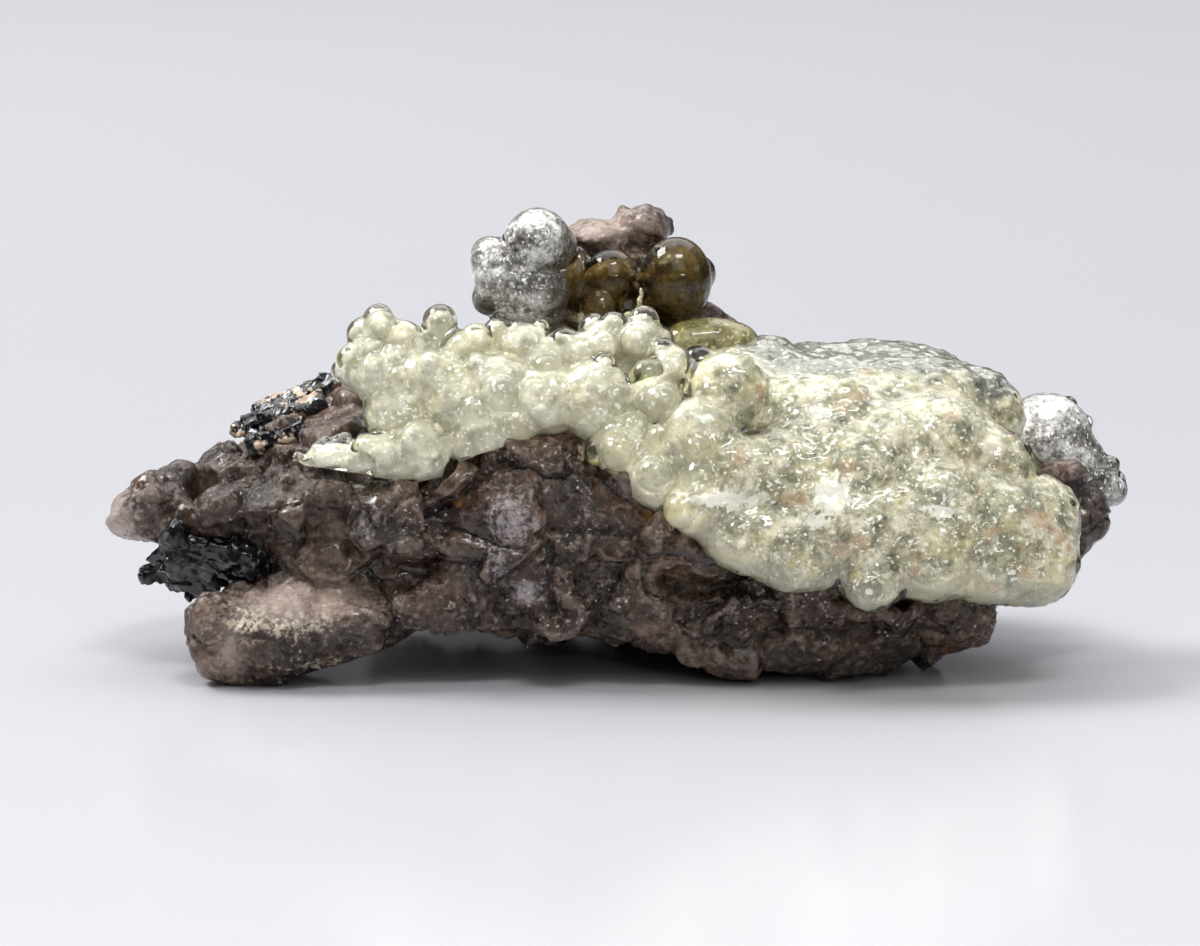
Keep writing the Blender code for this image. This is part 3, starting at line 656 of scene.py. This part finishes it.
def make_growth(name, globules, buds, voxel, fillet, wobble, broken):
    """The glassy skin of one growth of opal, with flat fractures where it is broken."""
    piece = globule_mesh(name, list(globules) + list(buds))
    for smoothing, settling in ((3, 3), (1, 2)):
        fuse(piece, voxel)
        relax(piece, smoothing)
        settle_on_skin(piece, globules, buds, fillet, settling)
    points = points_of(piece.data)
    wide, narrow = (noise_at(points, *layer) for layer in GLASS_NOISE)
    height = wide * wobble + narrow * wobble * 0.3
    if broken:
        height += broken_facets(points)
    points = raise_points(piece.data, points, height)
    if broken:
        points[:, 2] = np.maximum(points[:, 2], broken_edge(points))
    move_points(piece.data, points)
    piece.data.shade_smooth()
    return piece


def make_heart(name, globules, cores, voxel, fillet, depth, spread, rough, broken):
    """The grainy heart seen through a growth's skin, at a changing depth below it, with the buds' cores."""
    piece = globule_mesh(name, list(globules) + list(cores))
    fuse(piece, voxel)
    relax(piece, 3)
    sunk = []
    for centre, radii in globules:
        sunk.append((centre, tuple(max(radius - depth, radius * LEAST_HEART) for radius in radii)))
    for _ in range(2):
        settle_on_skin(piece, sunk, cores, fillet, 2)
        fuse(piece, voxel)
    mesh = piece.data
    points = points_of(mesh)
    wide, narrow = (noise_at(points, *layer) for layer in HEART_NOISE)
    height, _, _ = facets_at(points, *HEART_FACETS)
    height = spread * (wide + 0.6 * narrow) + height * rough
    if broken:
        height += broken_facets(points)
    points = raise_points(mesh, points, height)
    if broken:
        points[:, 2] = np.maximum(points[:, 2], broken_edge(points) + EDGE_INSET)
    move_points(mesh, points)
    paint(mesh, "mottle", np.clip((points[:, 0] - MOTTLE_FROM) / MOTTLE_SPAN, 0.0, 1.0))
    # How much each point faces up, read by the painted shade on tops and painted light on undersides
    paint(mesh, "up", normals_of(mesh)[:, 2])
    paint_zones(mesh, points, HEART_ZONES)
    mesh.shade_smooth()
    return piece


# Materials

class Look:
    """A material's node tree, with short calls to add and join nodes."""

    def __init__(self, name):
        self.material = bpy.data.materials.new(name)
        self.material.use_nodes = True
        self.tree = self.material.node_tree
        self.tree.nodes.clear()
        self.output = self.tree.nodes.new("ShaderNodeOutputMaterial")

    def node(self, kind, **values):
        """A node with its properties and inputs set. An input's spaces are underscores."""
        made = self.tree.nodes.new("ShaderNode" + kind)
        for key, value in values.items():
            if hasattr(made, key):
                setattr(made, key, value)
            else:
                self.put(made, key.replace("_", " "), value)
        return made

    def put(self, node, socket, value):
        """Sets or links one input."""
        target = node.inputs[socket]
        if isinstance(value, bpy.types.NodeSocket):
            self.tree.links.new(value, target)
        elif target.type == "RGBA":
            target.default_value = (*value, 1.0)
        else:
            target.default_value = value

    def place(self):
        return self.node("TexCoord").outputs["Object"]

    def attribute(self, name):
        return self.node("Attribute", attribute_name=name).outputs["Fac"]

    def speckle(self, scale, detail=3.0, roughness=0.55):
        """Noise whose scale is in features per millimetre."""
        settings = {"Scale": scale / MM, "Detail": detail, "Roughness": roughness}
        return self.node("TexNoise", Vector=self.place(), **settings).outputs["Fac"]

    def ramp(self, value, stops):
        """Colours along a number: stops are (position, colour)."""
        made = self.node("ValToRGB", Fac=value)
        elements = made.color_ramp.elements
        while len(elements) < len(stops):
            elements.new(0.5)
        for element, (position, colour) in zip(elements, stops):
            element.position = position
            element.color = (*colour, 1.0)
        return made.outputs["Color"]

    def range(self, value, low, high, to_low=0.0, to_high=1.0):
        """The number carried smoothly from one range to another."""
        made = self.node(
            "MapRange", interpolation_type="SMOOTHSTEP", Value=value,
            From_Min=low, From_Max=high, To_Min=to_low, To_Max=to_high,
        )
        return made.outputs["Result"]

    def mix(self, amount, one, two):
        """One colour with this much of another laid over it."""
        made = self.node("Mix", data_type="RGBA")
        for socket, value in ((0, amount), (6, one), (7, two)):
            self.put(made, socket, value)
        return made.outputs[2]

    def lay(self, colour, shade, value, low, high, amount=1.0):
        """The colour with up to this amount of a shade over it, as the value goes from low to high."""
        return self.mix(self.range(value, low, high, 0.0, amount), colour, shade)

    def join(self, kind, operation, one, two):
        """A node that works on two values."""
        made = self.node(kind, operation=operation)
        self.put(made, 0, one)
        self.put(made, 1, two)
        return made

    def times(self, one, two):
        return self.join("Math", "MULTIPLY", one, two).outputs[0]

    def weigh(self, *terms):
        """The sum of numbers, each times its weight."""
        total = None
        for value, weight in terms:
            part = value if weight == 1.0 else self.times(value, weight)
            total = part if total is None else self.join("Math", "ADD", total, part).outputs[0]
        return total

    def stain(self, colour, shade, zone, edge, low, high, amount=1.0):
        """The colour with a shade over a painted zone, whose edge is broken up by weighted noise."""
        return self.lay(colour, shade, self.weigh((self.attribute(zone), 1.0), edge), low, high, amount)

    def bump(self, height, distance, strength=1.0, under=None):
        """A normal tilted by the height, over another bump."""
        made = self.node("Bump", Strength=strength, Distance=distance * MM, Height=height)
        if under:
            self.put(made, "Normal", under)
        return made.outputs["Normal"]

    def grains(self, size):
        """Crystal grains of a size in millimetres: two numbers for each, and its tilted face's height."""
        cells = self.node("TexVoronoi", Scale=1.0 / (size * MM), Vector=self.place())
        offset = self.join("VectorMath", "SUBTRACT", self.place(), cells.outputs["Position"])
        lean = self.join("VectorMath", "SUBTRACT", cells.outputs["Color"], (0.5, 0.5, 0.5))
        height = self.join("VectorMath", "DOT_PRODUCT", offset.outputs["Vector"], lean.outputs["Vector"])
        parts = self.node("SeparateColor", Color=cells.outputs["Color"])
        return parts.outputs["Red"], parts.outputs["Green"], height.outputs["Value"]

    def finish(self, colour, roughness, normal, index=1.5):
        """Joins an opaque surface to the output."""
        surface = self.node(
            "BsdfPrincipled", Base_Color=colour, Roughness=roughness, Normal=normal, IOR=index,
        )
        self.put(self.output, "Surface", surface.outputs[0])
        return self.material


def opal_glass(name, tint, haze, density, roughness, coat):
    """Opal glass: plain transmission with an absorbing body. Lamps reach through its skin."""
    look = Look(name)
    ripple = look.bump(look.speckle(1.6, 2.0), 0.03, 0.3)
    glass = look.node(
        "BsdfPrincipled", IOR=1.46, Roughness=roughness, Normal=ripple, Base_Color=tint,
        Transmission_Weight=1.0, Coat_Weight=coat, Coat_Roughness=0.03,
    )
    clear = look.node("BsdfTransparent", Color=tint)
    mix = look.node("MixShader", Fac=look.node("LightPath").outputs["Is Shadow Ray"])
    look.put(mix, 1, glass.outputs[0])
    look.put(mix, 2, clear.outputs[0])
    look.put(look.output, "Surface", mix.outputs[0])
    body = look.node("VolumeAbsorption", Color=haze, Density=density)
    look.put(look.output, "Volume", body.outputs[0])
    return look.material


def crust_heart_material():
    """The crust's heart: milky on one side, mottled white, cream and grey-green on the other, with painted
    shade on its upward faces, painted light on its undersides, and white grains partly painted as sparkle.
    """
    look = Look("green_hyalite_grains")
    grain, other, faces = look.grains(0.14)
    fine = look.speckle(2.4, 5.0, 0.68)
    yellow = look.speckle(0.42, 2.0)
    milky = look.ramp(look.weigh((look.speckle(0.5, 3.0), 0.55), (fine, 0.45)), MILKY_OPAL)
    milky = look.lay(milky, (0.84, 0.76, 0.5), yellow, 0.52, 0.68, 0.4)
    mottled = look.ramp(look.speckle(0.8, 8.0, 0.74), MOTTLED_OPAL)
    mottled = look.lay(mottled, (0.84, 0.75, 0.42), yellow, 0.52, 0.68, 0.45)
    mottled = look.lay(mottled, (0.66, 0.38, 0.22), look.speckle(0.55, 3.0), 0.57, 0.67, 0.55)
    colour = look.mix(look.attribute("mottle"), milky, mottled)
    colour = look.stain(colour, (0.88, 0.81, 0.55), "cream", (fine, 1.6), 1.1, 1.7, 0.75)
    colour = look.stain(colour, (0.2, 0.205, 0.155), "grey", (fine, 1.6), 1.3, 1.7, 0.75)
    silver = look.ramp(look.speckle(2.6, 5.0, 0.7), SILVER_OPAL)
    colour = look.lay(colour, silver, look.attribute("silver"), 0.2, 0.5)
    # White grains, partly painted sparkle: the brightest grains are painted near white
    colour = look.lay(colour, (1.0, 1.0, 0.98), grain, 0.9, 0.94)
    colour = look.lay(colour, (0.2, 0.2, 0.14), other, 0.88, 0.96, 0.35)
    # Painted glints: near white laid over these patches
    colour = look.stain(colour, (1.0, 0.99, 0.97), "painted_glints", (fine, 2.4), 1.4, 1.65)
    # Painted shade on upward faces and painted light on undersides, evening out the lamps' shading of the
    # heart
    up = look.attribute("up")
    colour = look.lay(colour, (0.3, 0.31, 0.24), up, 0.0, 0.9, 0.4)
    colour = look.mix(look.range(up, -0.9, 0.1, 0.5, 0.0), colour, (0.92, 0.89, 0.76))
    roughness = look.range(grain, 0.5, 0.95, 0.55, 0.15)
    return look.finish(colour, roughness, look.bump(faces, 220.0))


def silver_heart_material():
    """The clear growths' heart: fine silvery grains with dark hollows."""
    look = Look("clear_hyalite_grains")
    grain, other, faces = look.grains(0.12)
    wide = look.speckle(0.4, 3.0, 0.6)
    fine = look.speckle(3.0, 4.0, 0.7)
    colour = look.ramp(look.weigh((wide, 0.55), (fine, 0.45)), SILVER_GRAINS)
    colour = look.lay(colour, (0.97, 0.97, 0.97), grain, 0.88, 0.95)
    colour = look.lay(colour, (0.06, 0.052, 0.04), other, 0.84, 0.94, 0.6)
    colour = look.lay(colour, (0.06, 0.045, 0.03), look.attribute("shade"), 0.2, 0.8, 0.85)
    roughness = look.range(grain, 0.3, 0.9, 0.5, 0.1)
    return look.finish(colour, roughness, look.bump(faces, 500.0))


def amber_heart_material(name, stops, fleck):
    """The olive growths' heart: clouded amber with a little rust and some pale flecks."""
    look = Look(name)
    grain, _, faces = look.grains(0.14)
    colour = look.ramp(look.speckle(0.7, 5.0, 0.62), stops)
    colour = look.lay(colour, (0.16, 0.06, 0.015), look.speckle(0.6, 3.0), 0.56, 0.7, 0.5)
    colour = look.lay(colour, (0.85, 0.78, 0.58), grain, 0.9, 0.95, fleck)
    roughness = look.range(grain, 0.3, 0.9, 0.5, 0.2)
    return look.finish(colour, roughness, look.bump(faces, 250.0))


def quartz_material():
    """Smoky quartz: dark glassy grains, frosted edges partly painted as highlight, pale veins, and cream
    and rust powder, with painted shade in its crevices and over the left arm, and painted glints.
    """
    look = Look("smoky_quartz")
    _, other, faces = look.grains(0.3)
    spark, _, _ = look.grains(0.13)
    cloud = look.speckle(0.28, 5.0, 0.62)
    fine = look.speckle(2.4, 6.0, 0.72)
    patch = look.weigh((look.attribute("crushed"), 0.14), (look.speckle(0.42, 3.0, 0.6), 1.0))
    value = look.weigh((look.attribute("tone"), 0.14), (cloud, 0.5), (fine, 0.28), (other, 0.08))
    colour = look.ramp(value, SMOKY_QUARTZ)
    frost = look.times(look.range(fine, 0.54, 0.61), look.range(patch, 0.5, 0.64, 0.2, 1.0))
    colour = look.mix(look.times(frost, 0.6), colour, (0.4, 0.33, 0.29))
    # Pale frost on the ridges, partly a painted edge highlight
    colour = look.stain(colour, (0.32, 0.25, 0.205), "ridge", (fine, 1.2), 1.1, 1.6, 0.35)
    # Painted shade: crevices, where the ridge measure falls below zero, darkened to near black
    crevice_shade = look.range(look.attribute("ridge"), -0.9, -0.15, 0.75, 0.0)
    colour = look.mix(crevice_shade, colour, (0.006, 0.004, 0.003))
    rusty = look.speckle(1.3, 4.0, 0.7)
    for shade, zone, edge, low, high, amount in (
        # Painted shade over the left arm
        ((0.026, 0.016, 0.011), "left_arm_shade", (cloud, 0.8), 0.5, 1.3, 0.6),
        ((0.46, 0.4, 0.4), "pale", (fine, 2.2), 1.5, 2.0, 0.9),
        ((0.52, 0.405, 0.335), "blush", (fine, 1.0), 0.8, 1.5, 0.85),
        ((0.62, 0.54, 0.4), "powder", (fine, 4.0), 2.6, 3.1, 0.8),
        ((0.26, 0.12, 0.035), "rust", (rusty, 2.4), 1.75, 2.2, 0.7),
    ):
        colour = look.stain(colour, shade, zone, edge, low, high, amount)
    # Painted glints: rare grains in crushed patches painted near white
    painted_glint = look.times(look.range(spark, 0.975, 0.99), look.range(patch, 0.58, 0.68))
    colour = look.mix(look.times(painted_glint, 0.7), colour, (0.8, 0.77, 0.76))
    rough = look.range(patch, 0.45, 0.57, 0.08, 1.0)
    tilted = look.bump(look.times(faces, rough), 900.0)
    normal = look.bump(look.times(fine, rough), 0.2, 0.7, tilted)
    dull = look.times(look.range(other, 0.1, 0.9, 0.3, 0.12), look.range(rough, 0.08, 1.0, 0.4, 1.0))
    return look.finish(colour, dull, normal, index=1.54)


def schorl_material():
    """Black tourmaline, with fine streaks and a few feldspar flakes."""
    look = Look("black_schorl")
    grain, _, faces = look.grains(0.35)
    colour = look.ramp(look.speckle(2.2, 4.0), BLACK_SCHORL)
    patches = look.range(look.speckle(0.6, 4.0, 0.65), 0.545, 0.58)
    flake = look.times(patches, look.attribute("flake"))
    colour = look.mix(flake, colour, (0.58, 0.44, 0.31))
    roughness = look.range(grain, 0.2, 0.9, 0.34, 0.12)
    return look.finish(colour, roughness, look.bump(faces, 200.0), index=1.6)


def crumb_material():
    """Cream powder of mixed grains."""
    look = Look("cream_powder")
    grain, _, faces = look.grains(0.12)
    roughness = look.range(grain, 0.0, 1.0, 0.8, 0.4)
    colour = look.ramp(grain, CRUMBLY_CREAM)
    return look.finish(colour, roughness, look.bump(faces, 400.0))


# Pieces

def finish_piece(piece, material, node):
    """The piece's material and its place in the frame."""
    piece.data.materials.clear()
    piece.data.materials.append(material)
    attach(piece, "root")
    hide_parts(node)


def quartz_with_lumps():
    """The matrix's own shape with the rounding lumps, joined in one even skin."""
    piece = new_piece("quartz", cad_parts["smoky_quartz_matrix"].data.copy())
    lumps = globule_mesh("lumps", QUARTZ_LUMPS)
    bm = bmesh.new()
    bm.from_mesh(piece.data)
    bm.from_mesh(lumps.data)
    bm.to_mesh(piece.data)
    bm.free()
    bpy.data.objects.remove(lumps)
    fuse(piece, ROCK_VOXEL)
    relax(piece, ROCK_RELAXING)
    return piece


def foot_underside(points):
    """Least height of each point, where the foot's underside is straight."""
    under = np.interp(points[:, 0], FOOT_UNDERSIDE_X, FOOT_UNDERSIDE_Z, left=0.0, right=0.0)
    uneven = noise_at(points, *UNDERSIDE_NOISE) * UNDERSIDE_RELIEF
    uneven -= (points[:, 1] - UNDERSIDE_Y) * UNDERSIDE_SLOPE
    under += uneven * (under > 0.0)
    return under * (points[:, 1] < UNDERSIDE_BACK)


def make_quartz():
    """The broken quartz, cut finer and fractured into lumps, facets and grains."""
    piece = quartz_with_lumps()
    mesh = piece.data
    points = points_of(mesh)
    warp = np.stack([noise_at(points, *layer) for layer in BEND_NOISE], axis=1)
    bent = (points + warp * ROCK_BEND) * np.array(ROCK_STRETCH)
    broad, broad_tone, broad_edge = facets_at(bent, *BROAD_FACETS)
    middle, middle_tone, middle_edge = facets_at(bent, *MIDDLE_FACETS)
    small, small_tone, _ = facets_at(points, *SMALL_FACETS)
    crushed = np.clip(noise_at(points, *CRUSHED_NOISE) * 1.8 + 0.5, 0.0, 1.0)
    height = broad * BROAD_RELIEF - broad_edge * BROAD_CREASE + noise_at(points, *ROCK_NOISE) * 0.03
    height += (middle * MIDDLE_RELIEF - middle_edge * MIDDLE_CREASE) * (0.4 + 0.6 * crushed)
    height += small * SMALL_RELIEF * (0.3 + 0.7 * crushed)
    height = (height + ROCK_SHIFT) * np.clip(points[:, 2] / FLAT_BELOW, 0.0, 1.0)
    height *= 1.0 - SPARED_LOSS * zone_at(points, SPARED_QUARTZ)
    points = raise_points(mesh, points, height)
    points[:, 2] = np.maximum(points[:, 2], foot_underside(points))
    move_points(mesh, points)
    paint(mesh, "crushed", crushed)
    paint(mesh, "tone", broad_tone * 0.4 + middle_tone * 0.4 + small_tone * 0.2)
    ridge = ridge_of(mesh, points, RIDGE_ROUNDS)
    paint(mesh, "ridge", np.clip(ridge / np.percentile(ridge, RIDGE_PERCENTILE), -1.0, 1.0))
    paint_zones(mesh, points, QUARTZ_ZONES)
    mesh.shade_smooth()
    finish_piece(piece, quartz_material(), "smoky_quartz_matrix")


def make_crumbs():
    """Cream powder caught between two olive globules."""
    piece = globule_mesh("cream_crumbs", CREAM_CRUMBS)
    fuse(piece, CRUMB_VOXEL)
    points = points_of(piece.data)
    height, _, _ = facets_at(points, *CRUMB_FACETS)
    move_points(piece.data, raise_points(piece.data, points, height * CRUMB_RELIEF))
    finish_piece(piece, crumb_material(), "smoky_quartz_matrix")


def shards_about(start, end, radius, scatter):
    """Splinters about one column: start, end, thick end's radius, thin end's radius and sides."""
    along = end - start
    shards = []
    for _ in range(SHARDS_PER_COLUMN):
        aside = Vector(scatter.normal(size=3)) * radius * SHARD_SPREAD
        root = start + along * scatter.uniform(0.0, 1.0) + aside
        lean = along.normalized() * scatter.choice((-1, 1)) + Vector(scatter.normal(size=3)) * SHARD_LEAN
        half = lean.normalized() * scatter.uniform(*SHARD_LENGTHS) / 2
        thick = scatter.uniform(*SHARD_RADII)
        shards.append((root - half, root + half, thick, thick * scatter.uniform(*SHARD_TAPERS), 5))
    return shards


def make_schorl(name, node, columns, seed, material, flake):
    """Columns with splintered shards about them, fused at their roots."""
    scatter = np.random.default_rng(seed)
    solids = []
    for start, end, radius, sides in columns:
        solids.append((Vector(start), Vector(end), radius, radius * COLUMN_TAPER, sides))
        solids += shards_about(Vector(start), Vector(end), radius, scatter)
    bm = bmesh.new()
    for start, end, thick, thin, sides in solids:
        along = (end - start) * MM
        turn = along.to_track_quat("Z", "Y").to_matrix().to_4x4()
        place = Matrix.Translation((start + end) / 2 * MM) @ turn
        bmesh.ops.create_cone(
            bm, cap_ends=True, segments=sides, radius1=thick * MM, radius2=thin * MM,
            depth=along.length, matrix=place,
        )
    piece = piece_from(bm, name)
    fuse(piece, SCHORL_VOXEL)
    keep_largest(piece)
    points = points_of(piece.data)
    height, _, _ = facets_at(points, *SCHORL_FACETS)
    move_points(piece.data, raise_points(piece.data, points, height * SCHORL_RELIEF))
    paint(piece.data, "flake", np.full(len(points), flake))
    piece.data.shade_smooth()
    finish_piece(piece, material, node)


def on_crest(place):
    """Whether a bud stands against the sky or over dark rock, where a clear one would look black."""
    across, _, height = place
    on_right = across > SOFT_SIDE_END and height > RIGHT_CREST_ABOVE
    return height > CREST_ABOVE or across < CREST_LEFT_OF or on_right


def on_soft_side(place):
    """Whether a bud belongs to the crust's frothy left side, clear of the stalked ball."""
    across, _, height = place
    frothy = across < SOFT_SIDE_END and (height > SOFT_BUDS_ABOVE or across > SOFT_BUDS_RIGHT_OF)
    return frothy and np.linalg.norm(place - np.array(STALK_BALL)) > STALK_CLEARANCE


def make_opal(name, globules, buds, cores, glass, grains, node, broken=False):
    """One growth of opal: a glassy skin over a grainy heart."""
    skin = make_growth(name + "_glass", globules, buds, *SKINS[name], broken)
    heart = make_heart(name + "_grains", globules, cores, *HEARTS[name], broken)
    finish_piece(skin, glass, node)
    finish_piece(heart, grains, node)


def make_crust(glass):
    """The crust, with buds over its skin and a core in those on the crest."""
    body = FRONT_CRUST + CRUST_FILL
    buds = scatter_buds(body, CRUST_FILLET, SOFT_BUDS, on_soft_side)
    buds += scatter_buds(body, CRUST_FILLET, ROUGH_BUDS, lambda place: place[0] >= SOFT_SIDE_END)
    cores = []
    for centre, radii in buds:
        if on_crest(centre):
            cores.append((centre, tuple(radius * CREST_CORE for radius in radii)))
    grains = crust_heart_material()
    make_opal("crust", body, buds, cores, glass, grains, "hyalite_front_crust", broken=True)


def make_opals():
    """The growths of opal."""
    glass = {name: opal_glass(name, *values) for name, values in GLASS.items()}
    clear = glass["clear_hyalite"]
    olive = glass["olive_hyalite"]
    light_olive = glass["light_olive_hyalite"]
    silver = silver_heart_material()
    amber = amber_heart_material("olive_hyalite_grains", OLIVE_AMBER, fleck=0.0)
    straw = amber_heart_material("light_olive_hyalite_grains", STRAW_AMBER, fleck=0.8)
    buds = scatter_buds(RIGHT_LOBES, OPAL_FILLET, LOBE_BUDS, lambda place: True)
    make_crust(glass["green_hyalite"])
    make_opal("knob", CLEAR_KNOB, (), (), clear, silver, "hyalite_clear_knob")
    make_opal("olive", OLIVE_GLOBULES, (), (), olive, amber, "hyalite_olive_globules")
    make_opal("lobe", OLIVE_LOBE, (), (), light_olive, straw, "hyalite_olive_globules")
    make_opal("right", RIGHT_LOBES, buds, (), clear, silver, "hyalite_right_lobes")


# Stage

def make_table():
    """A pale, slightly glossy table, with painted light that makes it paler into the distance."""
    bm = bmesh.new()
    bmesh.ops.create_grid(bm, x_segments=2, y_segments=2, size=TABLE_HALF_WIDTH)
    floor = piece_from(bm, "floor")
    look = Look("pale_table")
    split = look.node("SeparateXYZ", Vector=look.place())
    distance = look.range(split.outputs["Y"], 0.0, FAR_DISTANCE)
    # Painted light: the table's colour pales with distance, standing in for light on the far table
    colour = look.ramp(distance, ((0.0, NEAR_TABLE_SHADE), (1.0, FAR_TABLE_LIT)))
    surface = look.node("BsdfPrincipled", Base_Color=colour, Roughness=0.16, IOR=1.4)
    look.put(look.output, "Surface", surface.outputs[0])
    floor.data.materials.append(look.material)


def make_daylight():
    """Soft daylight from above and behind, fading to a dark room toward the camera."""
    world = bpy.data.worlds.new("daylight")
    world.use_nodes = True
    tree = world.node_tree
    background = tree.nodes["Background"]
    background.inputs["Color"].default_value = DAYLIGHT
    lean = tree.nodes.new("ShaderNodeVectorMath")
    lean.operation = "DOT_PRODUCT"
    lean.inputs[1].default_value = DAYLIGHT_FROM
    fade = tree.nodes.new("ShaderNodeMapRange")
    fade.interpolation_type = "SMOOTHSTEP"
    for socket, value in DAYLIGHT_FADE:
        fade.inputs[socket].default_value = value
    tree.links.new(tree.nodes.new("ShaderNodeTexCoord").outputs["Generated"], lean.inputs[0])
    tree.links.new(lean.outputs["Value"], fade.inputs["Value"])
    tree.links.new(fade.outputs["Result"], background.inputs["Strength"])
    bpy.context.scene.world = world


def add_lamp(name, place, target, size, power):
    """A rectangular soft box aimed at the target, in metres and watts."""
    data = bpy.data.lights.new(name, "AREA")
    data.shape = "RECTANGLE"
    data.size, data.size_y = size
    data.energy = power
    lamp = bpy.data.objects.new(name, data)
    bpy.context.scene.collection.objects.link(lamp)
    lamp.location = place
    lamp.rotation_mode = "QUATERNION"
    lamp.rotation_quaternion = (Vector(target) - Vector(place)).to_track_quat("-Z", "Y")


def make_camera():
    """The photograph's viewpoint."""
    tilt = math.radians(CAMERA_ELEVATION)
    back = Vector((0.0, -math.cos(tilt), math.sin(tilt)))
    data = bpy.data.cameras.new("camera")
    data.sensor_width = SENSOR_WIDTH
    data.lens = SENSOR_WIDTH * CAMERA_DISTANCE / FRAME_WIDTH
    data.clip_start = 0.01
    data.clip_end = 10.0
    camera = bpy.data.objects.new("camera", data)
    bpy.context.scene.collection.objects.link(camera)
    camera.location = (Vector(CAMERA_TARGET) + back * CAMERA_DISTANCE) * MM
    camera.rotation_mode = "QUATERNION"
    camera.rotation_quaternion = (-back).to_track_quat("-Z", "Y")
    bpy.context.scene.camera = camera


make_camera()
make_table()
make_daylight()
for lamp in LAMPS:
    add_lamp(*lamp)
make_quartz()
schorl = schorl_material()
make_schorl("lower_schorl", "schorl_lower", LOWER_SCHORL, seed=71, material=schorl, flake=0.03)
make_schorl("upper_schorl", "schorl_upper", UPPER_SCHORL, seed=72, material=schorl, flake=1.0)
make_crumbs()
make_opals()
bpy.context.scene.view_settings.view_transform = "Standard"
